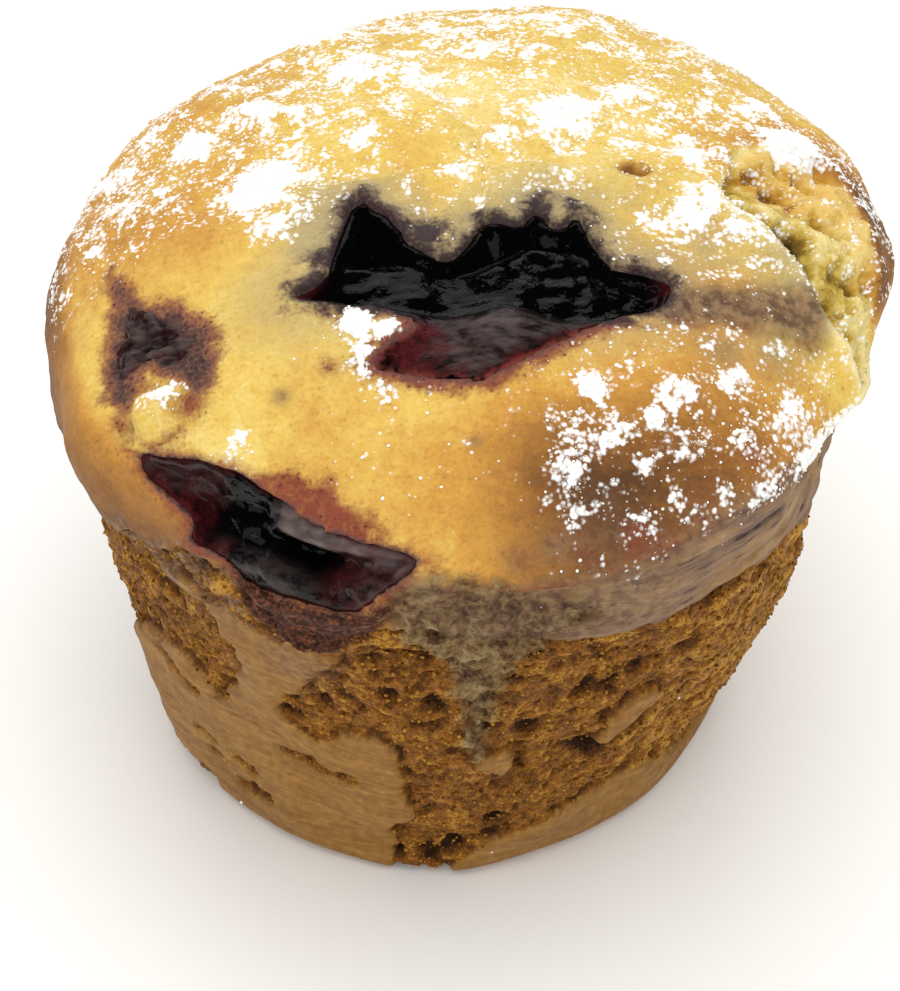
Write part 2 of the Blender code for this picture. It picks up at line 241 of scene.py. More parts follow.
# Lower down the side swells a little at the right and at the back left.
lower_side = smooth_step(8.0, 20.0, body_climb) * smooth_step(37.0, 27.0, body_climb)
relief += lower_side * (0.9 * bell(from_ridge, 22.0)
                        + 0.7 * bell(azimuth - 198.0, 18.0))

# The lower edge of the crown in front, as a climb at degrees round the muffin.
crown_edge = np.interp(round_degrees, (261, 264, 275, 283, 292, 303, 318, 331, 345, 362, 380),
                       (59.0, 58.8, 56.7, 56.3, 57.7, 59.2, 58.8, 55.0, 53.0, 53.0, 59.0))
edge_fold = bell(body_climb - crown_edge, 0.6)
edge_fold *= smooth_step(261.0, 266.0, azimuth) * smooth_step(312.0, 300.0, azimuth)
relief += 0.35 * edge_fold
relief *= smooth_step(0.0, 5.0, form[:, 2])
crust = form + out * relief[:, None] - unit(form * (1.0, 1.0, 0.0)) * pulled_in[:, None]
crust_tree = BVHTree.FromPolygons(crust.tolist(), body_quads)

# THE BAKED BODY, ITS TEARS
# Three berries burst through the crust, the right of the crown tore open, and an air
# bubble left a round hole. Each tear has its own level frame on the crust.

# Centre, azimuth and elevation of each frame: X runs to the right and Y up the slope.
centre_place = ((0.0, 0.0, 61.0), 270.0, 90.0)
front_place = ((-14.5, -35.0, 50.0), 247.0, 35.0)
left_place = ((-26.0, -17.0, 55.5), 213.0, 58.0)
tear_place = ((31.0, -2.0, 58.0), 355.0, 50.0)

centre_points = ((-13.7, -16.5), (-11.2, -14.4), (-10.2, -9.5), (-9.5, -6.5), (-8.3, -5.3),
                 (-8.3, -5.3), (-6.0, -7.4), (-4.1, -10.3), (-1.8, -11.9), (0.1, -10.9),
                 (1.6, -7.8), (1.6, -7.8), (3.2, -8.5), (5.0, -8.1), (6.6, -5.0),
                 (6.6, -5.0), (7.4, -7.1), (8.7, -7.4), (9.8, -5.9), (9.8, -5.9),
                 (11.2, -9.5), (12.8, -11.8), (12.8, -11.8),
                 (15.8, -12.3), (17.9, -13.2), (16.8, -15.8), (14.0, -17.6), (10.5, -19.5),
                 (7.6, -21.9), (2.8, -25.2), (-1.6, -24.8), (-6.7, -23.5), (-5.0, -21.0),
                 (-3.2, -19.6), (-6.0, -18.1), (-10.1, -17.4))
front_points = ((-13.2, 3.0), (-10.1, 3.8), (-5.6, 4.6), (-0.6, 3.7), (3.0, 2.6),
                (6.4, 2.4), (12.4, 2.3), (10.5, -1.0), (8.2, -3.6), (3.3, -4.1),
                (-0.8, -3.9), (-3.3, -2.4), (-6.2, -2.2), (-7.4, 0.0), (-11.8, 1.5))
left_points = ((-6.0, 0.6), (-3.2, 2.2), (0.6, 3.3), (4.2, 3.0), (5.2, 0.8),
               (2.6, -1.4), (2.0, -4.2), (-0.3, -4.6), (-2.6, -2.4))
tear_points = ((-1.9, 8.4), (-2.8, 6.2), (-4.2, 4.1), (-5.9, 1.8), (-8.2, 0.0), (-10.8, -2.2),
               (-12.0, -5.1), (-13.6, -7.3), (-10.9, -7.8), (-7.0, -7.9), (-2.1, -7.0),
               (2.1, -5.2), (8.2, -4.2), (12.0, -1.5), (11.6, 2.6), (10.6, 5.6), (8.0, 7.6),
               (5.0, 7.8), (2.4, 8.6), (0.0, 9.2))
# The first points of the tear run along its lip.
tear_lip = 8
knob_centre = np.array((-24.5, -24.3, 53.7))
air_hole = np.array((14.9, 0.4, 62.0))
centre_hollow, spill_hollow, front_hollow, left_hollow = 6.0, 0.5, 5.5, 1.6
# A frame on the crust only sees points this near its plane, and this far past an outline.
frame_thickness, frame_reach = 12.0, 14.0


def smooth_outline(points, steps=4, fray=0.0):
    """Closed smooth outline through 2-D points, frayed sideways by up to a length in mm."""
    corners = np.array(points, float)
    beside = [np.roll(corners, -step, axis=0) for step in (-1, 0, 1, 2)]
    outline = np.stack([through(*beside, step / steps) for step in range(steps)],
                       axis=1).reshape(-1, 2)
    spots = np.column_stack((outline, np.zeros(len(outline))))
    return outline + fray * np.stack((grain(spots, 0.9, 53, 2), grain(spots, 0.9, 54, 2)), 1)


def depth_inside(spots, outline, reach=frame_reach):
    """Distance of each spot inside an outline, negative outside, and its nearest point."""
    depth = np.full(len(spots), -reach)
    nearest = spots.copy()
    low, high = outline.min(axis=0) - reach, outline.max(axis=0) + reach
    close = np.flatnonzero(((spots > low) & (spots < high)).all(axis=1))
    start, edge = outline, np.roll(outline, -1, axis=0) - outline
    for part in np.array_split(close, max(len(close) // 4000, 1)):
        spot = spots[part][:, None]
        length = np.maximum((edge * edge).sum(-1), 1e-9)
        share = clamp01(((spot - start) * edge).sum(-1) / length)
        found = start + edge * share[..., None]
        away = np.linalg.norm(spot - found, axis=-1)
        best = away.argmin(axis=1)
        after = start + edge
        rising = (start[:, 1] > spot[..., 1]) != (after[:, 1] > spot[..., 1])
        slope = edge[:, 0] / np.where(edge[:, 1] == 0, 1e-9, edge[:, 1])
        crossed = spot[..., 0] < start[:, 0] + (spot[..., 1] - start[:, 1]) * slope
        inside = (rising & crossed).sum(axis=1) % 2 == 1
        row = np.arange(len(part))
        depth[part] = np.where(inside, away[row, best], -away[row, best])
        nearest[part] = found[row, best]
    return np.maximum(depth, -reach), nearest


def place_axes(place):
    """Centre of a frame on the crust, and its across, up-slope and outward axes as rows."""
    centre, turn, tilt = np.array(place[0]), math.radians(place[1]), math.radians(place[2])
    across = np.array((-math.sin(turn), math.cos(turn), 0.0))
    outward = np.array((math.cos(turn) * math.cos(tilt), math.sin(turn) * math.cos(tilt),
                        math.sin(tilt)))
    return centre, np.stack((across, np.cross(outward, across), outward))


def to_place(points, place):
    centre, axes = place_axes(place)
    return (points - centre) @ axes.T


def from_place(local, place):
    centre, axes = place_axes(place)
    return local @ axes + centre


def inside_tear(points, place, outline):
    """Depth inside an outline on the crust, for the points on that side of the muffin."""
    local = to_place(points, place)
    depth, nearest = depth_inside(local[:, :2], outline)
    return np.where(np.abs(local[:, 2]) < frame_thickness, depth, -frame_reach), nearest


def open_crust(points, place, outline, hollow, wall=0.5, inset=0.0, snap=0.24):
    """Sinks the crust inside an outline, with the points beside the edge moved onto it."""
    depth, nearest = inside_tear(points, place, outline)
    depth -= inset
    snap = snap if inset == 0.0 else 0.0
    local = to_place(points, place)
    beside = np.abs(depth) < snap
    local[beside, :2] = nearest[beside]
    depth = np.where(beside, 0.0, depth)
    local[:, 2] -= hollow * smooth_step(0.0, wall, depth)
    return from_place(local, place), depth


def near(points, centre, radius):
    """1 at a centre, falling smoothly to nearly 0 at twice the radius."""
    away = np.linalg.norm(points - np.array(centre), axis=-1) / radius
    return np.exp(-away * away)


centre_outline = smooth_outline(centre_points, 6, 0.16)
front_outline = smooth_outline(front_points, 8, 0.30)
left_outline = smooth_outline(left_points)
tear_outline = smooth_outline(tear_points)
tear_edge = np.array(tear_points[:tear_lip])

skin = crust.copy()

# A soft roll of crust stands round each burst berry, and a knob of dough at the left.
centre_depth, _ = inside_tear(skin, centre_place, centre_outline)
front_depth, _ = inside_tear(skin, front_place, front_outline)
left_depth, _ = inside_tear(skin, left_place, left_outline)
tear_depth, _ = inside_tear(skin, tear_place, tear_outline)
roll_up = 0.45 * bell(centre_depth + 0.7, 0.8) * (skin[:, 1] > -18.0)
roll_up += 0.35 * bell(front_depth + 0.7, 0.8)
tear_local = to_place(skin, tear_place)
from_lip = depth_inside(tear_local[:, :2], np.vstack((tear_edge, tear_edge[::-1])))[0]
at_tear = np.abs(tear_local[:, 2]) < frame_thickness
from_lip = np.where(at_tear, np.abs(from_lip), frame_reach)
roll_up += 0.3 * bell(tear_depth + 0.6, 0.8)
roll_up += 0.6 * bell(from_lip, 2.2) * (tear_depth < 0.3)
from_knob = np.linalg.norm(skin - knob_centre, axis=1)
knob_shape = from_knob + 0.8 * grain(skin, 2.2, 28, 2)
roll_up += 1.5 * bell(knob_shape, 2.1, 3) - 0.3 * bell(knob_shape - 3.0, 0.6)
roll_up -= 0.35 * smooth_step(-3.0, 0.5, left_depth)
skin += out * roll_up[:, None]

spilled = smooth_step(-18.6, -20.2, skin[:, 1])
hollow = centre_hollow + (spill_hollow - centre_hollow) * spilled
skin, centre_depth = open_crust(skin, centre_place, centre_outline, hollow)
skin, front_depth = open_crust(skin, front_place, front_outline, front_hollow)
skin, left_depth = open_crust(skin, left_place, left_outline, left_hollow, inset=1.0)

# The torn crumb on the right stands in lumps a little below the crust, with deep gaps
# beside its lip, darkened in colour as painted shade. Each gap: x and y in the tear's frame, radius and
# depth.
tear_gaps = ((-2.0, 2.2, 1.6, 4.6), (-4.6, 0.4, 1.1, 2.4), (-7.4, -2.6, 1.3, 3.2),
             (-10.4, -3.4, 0.9, 2.4), (4.4, 3.0, 1.2, 3.0), (-0.8, 5.6, 1.2, 2.2),
             (-6.4, -5.2, 0.8, 1.6), (1.6, -1.2, 0.9, 1.6), (7.6, 1.0, 0.8, 1.4),
             (6.6, 5.2, 0.9, 1.8), (-3.0, -4.6, 0.8, 1.4))
torn_relief = 1.3 * grain(skin, 4.2, 7, 2) + 0.7 * grain(skin, 1.6, 8, 3)
torn_relief += 0.9 * smooth_step(0.6, 0.15, cells(skin * (1.0, 0.9, 1.0), 4.6, 5)[0]) - 0.5
torn_relief -= 2.6 * bell(from_lip, 1.8)
torn_relief -= 0.6 * smooth_step(0.28, 0.08, cells(skin, 2.0, 6)[0])
for x, y, radius, depth in tear_gaps:
    away = np.linalg.norm(tear_local[:, :2] - (x, y), axis=1) / radius
    torn_relief -= depth * np.exp(-away ** 3)
skin, tear_depth = open_crust(skin, tear_place, tear_outline, 0.5 - torn_relief, 0.7)
tear_depth = np.where(at_tear, tear_depth, -frame_reach)

hole_away = np.linalg.norm((skin - air_hole)[:, :2], axis=1)
skin[:, 2] -= 4.0 * smooth_step(1.3, 0.7, hole_away) * (skin[:, 2] > 50)

# THE BAKED BODY, ITS SIDE
# Where the side stuck to the tin its brown skin came off and left open, pitted crumb.
# Patches of skin are left, the largest low on the front left.

# Outlines of the skin that is left, as degrees round the muffin and mm above its base.
side_mm_per_degree, side_reach = 0.58, 8.0
skin_patches = (
    ((196, 0), (200, 14), (208, 19), (215, 20.6), (222, 22.6), (227, 20.8), (232, 21.4),
     (236, 25.6), (238, 30.7), (239, 35.0), (246, 39.5), (251, 36.5), (255, 35.6),
     (251, 31.4), (249, 28.8), (243, 24.3), (243, 21.6), (246, 20.6), (252, 21.4),
     (259, 23.8), (263, 22.6), (263, 19.6), (264, 14.6), (266, 11.3), (262, 7.9),
     (261, -2), (250, -3), (225, -3), (205, -3)),
    ((231, 41), (235, 42), (240, 36), (238.5, 31.5), (235, 33), (232, 37)),
    ((276, -2), (277, 4.0), (284.7, 7.0), (296.9, 8.6), (311.5, 9.0), (322, 7.4),
     (332, 4.0), (348, 5), (360, 3.6), (369, 1.6), (373, -3), (320, -3)),
    ((296.9, 20.4), (298.6, 23.6), (304.8, 24.8), (307.2, 22.8), (302.6, 21.2),
     (299.4, 20.0)),
    ((275.6, 20.6), (277.6, 22.2), (281.8, 20.8), (279.7, 19.0)),
)
# Torn slots in the skin: where each starts and ends, and its half width.
slots = ((213.7, 20.0, 223.7, 18.1, 0.9), (226.1, 23.2, 230.3, 20.2, 0.9),
         (242.0, 15.0, 255.0, 16.2, 1.1), (203.0, 3.6, 219.0, 2.0, 1.7),
         (230.0, 10.0, 233.4, 9.6, 0.9), (229.3, 5.2, 236.3, 6.3, 1.0),
         (222.0, 11.4, 224.6, 10.6, 0.6), (224.0, 8.4, 226.6, 7.4, 0.7))
# Deep hollows in the crumb: degrees, height, radius and depth. Their colour is darkened too, as painted
# shade.
deep_hollows = ((297.5, 18.0, 1.5, 1.6), (294.0, 19.5, 1.2, 1.4), (281.0, 9.5, 1.3, 1.5),
                (275.5, 28.0, 1.0, 1.6), (275.8, 25.6, 1.0, 1.6), (273.5, 4.6, 1.4, 1.4),
                (269.0, 3.6, 1.3, 1.2), (284.0, 24.5, 1.3, 1.2), (262.0, 31.0, 0.9, 1.0),
                (244.6, 23.0, 0.8, 1.0), (301.0, 30.0, 1.2, 1.1), (309.0, 31.0, 1.2, 1.1))

side_spot = np.stack(((round_degrees - 270.0) * side_mm_per_degree, crust[:, 2]), axis=1)
ragged = 0.75 * grain(crust, 2.2, 8, 3)


def on_side(degrees, height):
    return np.array(((degrees - 270.0) * side_mm_per_degree, height))


def left_on(patch):
    outline = smooth_outline([on_side(*corner) for corner in patch])
    return depth_inside(side_spot, outline, side_reach)[0]


skin_left = np.maximum.reduce([left_on(patch) for patch in skin_patches])
at_back = smooth_step(15.0, 45.0, azimuth) * smooth_step(202.0, 178.0, azimuth)
back_skin = 9.0 * grain(crust * (1.0, 1.0, 0.6), 15.0, 9, 3) - 0.8
skin_left = np.maximum(skin_left, back_skin - 12.0 * (1 - at_back))
for start_degrees, start_height, end_degrees, end_height, half_width in slots:
    start, end = on_side(start_degrees, start_height), on_side(end_degrees, end_height)
    share = clamp01((side_spot - start) @ (end - start) / ((end - start) ** 2).sum())
    away = np.linalg.norm(side_spot - start - share[:, None] * (end - start), axis=1)
    skin_left = np.minimum(skin_left, away - half_width)

# How far up the crumb is torn, along the profile, at degrees round the muffin.
torn_top = np.interp(azimuth, (0, 22, 45, 200, 217, 221, 227, 231, 237, 243, 247, 251, 257,
                               262, 271, 284, 303, 322, 332, 345, 360),
                     (29.0, 33.0, 39.4, 39.4, 41.0, 47.0, 50.0, 50.0, 53.0, 53.5, 50.0, 48.0,
                      47.5, 50.0, 49.0, 46.4, 47.2, 46.2, 42.0, 34.0, 29.0))
torn = np.minimum(-skin_left, torn_top - body_climb)
torn = np.minimum(torn + ragged, 4.0)
torn_share = smooth_step(-0.15, 0.35, torn) * smooth_step(0.2, 2.0, body_climb)

stretched_crumb = crust * (0.72, 0.72, 1.0)
twisted = stretched_crumb + 0.7 * np.stack([grain(crust, 1.9, seed, 2) for seed in (31, 32, 33)], 1)
small_pits = smooth_step(0.42, 0.14, cells(twisted, 1.35, 10)[0])
large_pits = smooth_step(0.42, 0.12, cells(twisted, 3.2, 14)[0])
pitted = smooth_step(-0.30, 0.35, grain(crust, 5.0, 11))
edge_pits = bell(torn - 0.55, 0.5) * smooth_step(-0.1, 0.35, grain(crust, 1.6, 15))
frayed = smooth_step(overhang_from - 4.0, overhang_from + 2.0, body_climb)
crumb = 0.24 * grain(stretched_crumb, 1.5, 12, 2) + 0.20 * grain(crust, 0.8, 13)
crumb += frayed * 0.7 * grain(crust * (0.6, 0.6, 1.0), 2.4, 16, 2)
crumb -= 0.50 * small_pits + 1.25 * large_pits * pitted + 0.65 * edge_pits
for degrees, height, radius, depth in deep_hollows:
    away = np.linalg.norm(side_spot - on_side(degrees, height), axis=1)
    crumb -= depth * bell(away, radius, 4)
below = torn_share * (crumb - 0.6)
front_depth_here = smooth_step(-1.5, 0.0, front_depth)
skin += out * (below * (1 - front_depth_here))[:, None]
lighter_right = 0.24 * smooth_step(298.0, 318.0, round_degrees) * smooth_step(415.0, 365.0, round_degrees)
# The crumb's height also sets its colour: darker in pits and gaps and paler on ridges, as painted shade
# and light. The right is paler in tone.
crumb_height_for_shade = np.where(tear_depth > -1.0, torn_relief, crumb + lighter_right)
skin[:, 2] = np.maximum(skin[:, 2], 0.0)

# THE BAKED BODY, WHAT COLOURS IT
# Heat browned it unevenly, juice soaked in round the berries, and powdered sugar lies on
# it. Each of these is a share at every point of the skin, which the material reads.

# Where the crown baked darker or paler: x, y, radius and how much.
browner = ((16, -32, 8, 0.38), (23, -29, 8, 0.26), (10, -36, 7, 0.27), (3, -37, 9, 0.10),
           (30, -22, 7, 0.06), (-37, 2, 9, 0.22), (-30, 18, 14, 0.10), (36, 6, 7, 0.52),
           (30, 8, 5, 0.26), (20, -12, 7, 0.10), (-21, -7, 6, 0.12), (38, -4, 5, 0.45),
           (-9, -30, 7, 0.10), (7, -31, 5, 0.12), (12, 2, 9, -0.05), (0, 12, 14, -0.10),
           (-12, -18, 12, -0.06), (-29, -3, 5, 0.10), (24, -19, 5, 0.02), (31, -13, 5, -0.10),
           (28.5, 3.5, 4.5, 0.32), (-17, -30, 3, -0.14))
browning_and_shade = 0.20 + 0.07 * grain(crust, 9.0, 20, 3)
for x, y, radius, amount in browner:
    away = np.hypot(crust[:, 0] - x, crust[:, 1] - y) / radius
    browning_and_shade += amount * np.exp(-away * away)
browning_and_shade = browning_and_shade + 0.30 * on_skirt + 0.12 * smooth_step(60, 53, body_climb) * on_crown
browning_and_shade -= 0.25 * smooth_step(60.0, 56.0, body_climb) * bell(from_ridge, ridge_reach, 4)
left_side = smooth_step(170, 190, azimuth) * smooth_step(246, 236, azimuth)
browning_and_shade += 0.30 * left_side * smooth_step(64.0, 59.0, body_climb + 0.8 * grain(crust, 3.0, 26))
browning_and_shade -= 0.16 * bell(from_lip, 0.9)
# The air hole is browned darker as painted shade.
browning_and_shade += 0.50 * smooth_step(1.5, 1.0, hole_away) * (crust[:, 2] > 50)
amber = near(crust, (27.5, 3.6, 60.0), 3.6)
browning_and_shade += smooth_step(-0.5, 0.5, tear_depth) * (0.34 * amber - 0.34)

# Outlines of stains: the first two in the frames of the front and left berries, the
# others as degrees round the muffin and mm up.
salmon_points = ((-13.1, 3.0), (-10.1, 4.4), (-5.9, 5.0), (-2.6, 5.3), (0.7, 6.2),
                 (4.8, 5.8), (6.6, 4.6), (9.4, 3.8), (13.7, 2.7), (13.0, 1.4),
                 (2.0, 0.0), (-8.0, 1.0))
blotch_points = ((-10.4, 0.9), (-7.7, 2.1), (-5.0, 1.4), (-2.2, 2.9), (1.4, 4.6),
                 (4.0, 4.9), (7.5, 3.6), (9.6, 0.4), (4.9, -0.6), (2.8, -2.6),
                 (4.4, -5.2), (2.2, -6.0), (-0.1, -5.2), (-3.4, -2.9), (-6.6, -0.6))
grey_points = ((262, 49.5), (272, 50.2), (281, 48.6), (288, 46), (283, 42.5), (279.5, 36),
               (277.5, 28), (276.5, 22.5), (274.5, 22.5), (273, 30), (269.5, 37), (264, 44))
frayed_points = ((219, 41), (222, 43.5), (227.7, 46.6), (231, 46.2), (237, 48.2),
                 (241, 48.8), (245, 47.8), (246, 43), (243, 38.5), (239, 36), (232, 38),
                 (225, 37))
stain_points = ((244.5, 47.5), (252, 46.4), (258.5, 46.6), (263, 47.6), (260.5, 43),
                (255.5, 38.8), (249.5, 38.2), (246, 42.2))


def side_patch(points, softness):
    outline = smooth_outline([on_side(*corner) for corner in points])
    return smooth_step(-softness, softness, depth_inside(side_spot, outline, side_reach)[0] + ragged)


# Juice stains: plum is thick juice, rose is thin, ash is where it greyed the crust.
wisps = grain(crust, 2.0, 21, 3)
fine_wisps = grain(crust, 0.9, 22, 2)
plum = 0.95 * smooth_step(-2.4, 0.3, centre_depth + 0.6 * fine_wisps + 0.9 * wisps)
plum *= crust[:, 1] > -19.0
for x, y, z, radius, amount in ((-2.6, -9.6, 61.6, 2.8, 1.1), (-11.4, -12.6, 61.0, 2.2, 1.0),
                                (-10.4, -8.6, 61.4, 1.4, 0.7), (5.0, -6.8, 62.0, 1.6, 0.7)):
    plum = np.maximum(plum, amount * near(crust, (x, y, z), radius)
                      * smooth_step(-1.1, 0.2, wisps + 0.6 * fine_wisps + 0.2))
ash = 0.9 * smooth_step(-6.5, 0.0, centre_depth + 0.9 * wisps
                        + 1.5 * smooth_step(-10.0, -14.0, crust[:, 0])) * (crust[:, 2] > 54)
ash *= 0.55 + 0.45 * smooth_step(-16.0, -9.0, crust[:, 1])
ash *= smooth_step(-26.0, -17.0, crust[:, 1] + 0.5 * np.abs(crust[:, 0] - 2.0) - 4.0)
for x, y, z, radius, amount in ((21.5, -8.0, 60.1, 3.6, 0.55), (27.0, -8.6, 58.6, 3.2, 0.6),
                                (22.0, -18.4, 58.4, 2.4, 0.45), (26.5, -17.2, 57.0, 2.8, 0.45),
                                (14.5, -4.0, 62.4, 3.6, 0.40), (-12.4, -12.0, 61.0, 2.6, 0.6)):
    ash = np.maximum(ash, amount * near(crust, (x, y, z), radius) * (1.0 + 0.5 * wisps))
rose = 0.95 * smooth_step(-2.2, 0.0, centre_depth + 0.6 * fine_wisps + 0.5 * wisps)
rose *= smooth_step(-17.0, -19.0, crust[:, 1])
salmon = inside_tear(crust, front_place, smooth_outline(salmon_points))[0]
rose = np.maximum(rose, 0.9 * smooth_step(-0.9, 1.6, salmon + 0.9 * wisps)
                  * (1.0 + 0.3 * fine_wisps))
rose = np.maximum(rose, 0.7 * smooth_step(-1.5, 0.2, front_depth + 0.6 * wisps))
blotch = inside_tear(crust, left_place, smooth_outline(blotch_points))[0]
rose = np.maximum(rose, 0.75 * smooth_step(-1.2, 0.6, blotch + 0.9 * wisps))
plum = np.maximum(plum, 0.8 * smooth_step(-1.0, 1.8, blotch + 1.2 * wisps))
below_front = smooth_step(48.5, 46.5, crust[:, 2])
plum = np.maximum(plum, 0.8 * smooth_step(-0.6, 0.2, front_depth + 0.5 * fine_wisps)
                  * (1 - 0.6 * below_front))
plum = np.maximum(plum, 0.95 * smooth_step(-1.6, 0.4, left_depth + 0.7 * wisps))
beside_spill = smooth_step(-1.0, 0.0, centre_depth + 0.3 * fine_wisps)
plum = np.maximum(plum, 0.65 * beside_spill * (crust[:, 1] <= -19.0))
stain = side_patch(stain_points, 1.4)
smear = 1.1 * side_patch(grey_points, 1.6)
ring_stain = np.abs(knob_shape - 3.4)
rose = np.maximum(rose, 0.75 * smooth_step(2.2, 0.0, ring_stain + 1.0 * wisps)
                  * smooth_step(56.0, 54.0, crust[:, 2]) * smooth_step(-0.5, 0.1, wisps))
knob_clear = bell(knob_shape, 2.4, 4)
rose, plum = rose * (1 - knob_clear), plum * (1 - knob_clear)

# Juice ran from the middle berry to the torn place, and along the stretched skin.
run_length = crust[:, 0] - 17.5
run_across = crust[:, 1] + 15.6 - 0.26 * run_length
run_width = 1.6 + 2.0 * clamp01(run_length / 12.0)
run_ends = smooth_step(-1.5, 0.5, run_length) * smooth_step(14.5, 12.5, run_length)
run_ends = run_ends * (crust[:, 2] > 52)
run_share = bell(run_across + 0.5 * wisps, run_width, 4) * run_ends
dull_stain_and_shade = 0.95 * run_share * smooth_step(-1.6, -0.2, wisps + 0.3)
run_edge = bell(run_across + 0.8 * run_width, 0.5) * run_ends
rose = np.maximum(rose, 0.4 * run_edge * smooth_step(-0.4, 0.3, wisps))
frayed_share = side_patch(frayed_points, 1.2)
dull_stain_and_shade = np.maximum(dull_stain_and_shade, 0.8 * frayed_share * smooth_step(-0.25, 0.25, wisps + 0.1))
side = smooth_step(-0.9, 0.1, torn_top + 0.7 * wisps - body_climb)
skirt_end = smooth_step(52.0, 16.0, from_ridge)
skirt_band = smooth_step(261.0, 268.0, round_degrees) * skirt_end
upper_edge = crown_edge + 1.8 * grain(crust, 4.0, 23, 3)
skirt_band *= smooth_step(upper_edge + 1.8, upper_edge - 1.6, body_climb)
skirt_band *= smooth_step(torn_top - 0.6, torn_top + 0.6, body_climb + 0.5 * wisps)
skirt = np.maximum(skirt_band, 0.15 * left_side * smooth_step(60.0, 56.0, body_climb)
                   * (1 - torn_share))
edge_line = bell(body_climb - crown_edge - 1.0, 1.3)
edge_line *= smooth_step(284, 292, azimuth) * smooth_step(345, 330, azimuth)
rose = np.maximum(rose, 0.4 * edge_line * smooth_step(-0.2, 0.6, wisps))
rose = np.maximum(rose, 0.45 * edge_fold * smooth_step(-0.6, 0.3, wisps))
along_edge = bell(body_climb - crown_edge + 0.2, 2.6)
along_edge *= smooth_step(270, 284, azimuth) * smooth_step(350, 335, azimuth)
dull_stain_and_shade = np.maximum(dull_stain_and_shade, 0.75 * along_edge * smooth_step(-0.6, 0.2, wisps))
dull_stain_and_shade = np.maximum(dull_stain_and_shade, 0.7 * skirt_band * smooth_step(308.0, 290.0, round_degrees)
                  * smooth_step(-0.9, 0.1, wisps))
# Small stains: x, y, z, radius, how dull and how rose. The one at the air hole darkens it as painted
# shade.
spots = ((18.9, -14.6, 59.5, 1.0, 0.8, 0.0), (14.9, 0.4, 62.2, 1.0, 0.9, 0.0),
         (5.8, -37.8, 51.6, 1.6, 0.5, 0.25), (12.0, -34.6, 54.4, 1.8, 0.35, 0.15),
         (-14.0, -25.9, 57.6, 0.75, 1.0, 0.0), (-10.3, -23.4, 58.8, 0.9, 0.0, 0.75),
         (1.8, -30.5, 57.4, 0.6, 0.8, 0.0), (24.6, -27.4, 54.4, 1.5, 0.1, 0.5),
         (8.7, -37.0, 52.6, 1.7, 0.7, 0.15), (11.0, -36.9, 52.1, 1.6, 0.6, 0.3),
         (15.1, -35.4, 52.1, 1.9, 0.4, 0.6), (17.4, -35.0, 51.4, 1.6, 0.5, 0.4),
         (20.6, -33.0, 51.6, 1.8, 0.6, 0.3), (13.6, -36.0, 52.6, 1.6, 0.7, 0.2),
         (22.0, -18.6, 58.4, 2.2, 0.35, 0.0), (26.5, -17.4, 57.2, 2.6, 0.3, 0.0),
         (-21.5, -24.9, 55.6, 1.8, 0.1, 0.85), (-21.8, -22.4, 56.6, 1.5, 0.1, 0.7),
         (-27.0, -24.8, 52.2, 1.3, 0.1, 0.6), (-12.6, -32.7, 33.5, 3.4, 0.45, 0.1))
for x, y, z, radius, dull_amount, rose_amount in spots:
    here = near(crust, (x, y, z), radius)
    dull_stain_and_shade = np.maximum(dull_stain_and_shade, dull_amount * here)
    rose = np.maximum(rose, rose_amount * here)

# Thick falls of sugar: x, y, radius and how much of the crust each covers. Elsewhere it
# is a scattering, thickest behind.
falls = ((-16.8, -1.6, 4.8, 1.0), (-16.0, -8.0, 2.2, 0.8), (-13.4, -6.2, 1.8, 0.6),
         (9.2, 8.4, 4.2, 1.0), (7.4, 5.0, 2.4, 0.7), (29.6, 10.4, 3.8, 1.0),
         (-8.2, -19.2, 1.9, 1.0), (-5.6, -20.2, 1.4, 1.0), (-7.4, -22.6, 1.6, 0.8),
         (16.2, 9.0, 2.6, 0.7), (19.7, 4.1, 2.6, 0.8), (20.3, -3.6, 3.2, 0.9),
         (23.5, -5.0, 2.2, 0.7), (17.0, -6.0, 2.4, 0.6), (11.2, -25.2, 1.6, 1.0),
         (9.4, -29.0, 2.3, 0.62), (9.2, -32.2, 1.9, 0.85), (9.4, -34.6, 1.6, 0.5),
         (12.8, -28.1, 2.2, 0.55), (16.2, -26.6, 1.2, 0.9), (17.9, -24.0, 2.0, 0.85),
         (22.6, -21.2, 1.8, 0.75), (20.4, -21.6, 1.2, 0.6), (19.8, -27.9, 1.3, 0.75),
         (15.7, -34.3, 1.2, 0.7), (27.8, -22.2, 3.0, 0.66), (24.0, -26.0, 1.0, 0.8),
         (15.3, -30.6, 1.3, 0.6), (-5.8, -26.4, 1.4, 0.6), (-23.8, 7.2, 3.4, 0.9),
         (3.2, 5.1, 1.5, 0.85), (-9.3, 4.6, 2.0, 0.85), (-0.5, -1.6, 1.6, 0.7),
         (1.8, 21.3, 2.6, 0.9), (-9.4, 16.5, 4.0, 0.9), (-4.6, 14.8, 2.6, 0.8),
         (-14.4, 8.6, 2.4, 0.8), (-19.2, 10.0, 3.0, 0.8), (-29.0, -0.3, 2.0, 0.8),
         (-32.0, 8.2, 2.6, 0.9), (-25.4, -0.7, 2.0, 0.6), (14.2, 13.1, 2.6, 0.8),
         (-14.0, 27.0, 4.0, 0.9), (27.0, 16.0, 3.0, 0.8), (6.0, 28.0, 3.0, 0.8),
         (-17.4, -29.6, 1.6, 0.5))
patchy = 1.0 + 0.9 * grain(crust, 4.0, 24, 3) + 0.6 * grain(crust, 1.6, 25, 2)
dust = 0.16 + 0.14 * smooth_step(-10.0, 6.0, crust[:, 1])
dust += 0.24 * smooth_step(6.0, 22.0, crust[:, 1] - 0.7 * crust[:, 0])
dust += 0.12 * smooth_step(8.0, 20.0, crust[:, 0]) * smooth_step(-14.0, -6.0, crust[:, 1])
dust += 0.06 * smooth_step(6.0, 12.0, crust[:, 0]) * smooth_step(-14.0, -20.0, crust[:, 1])
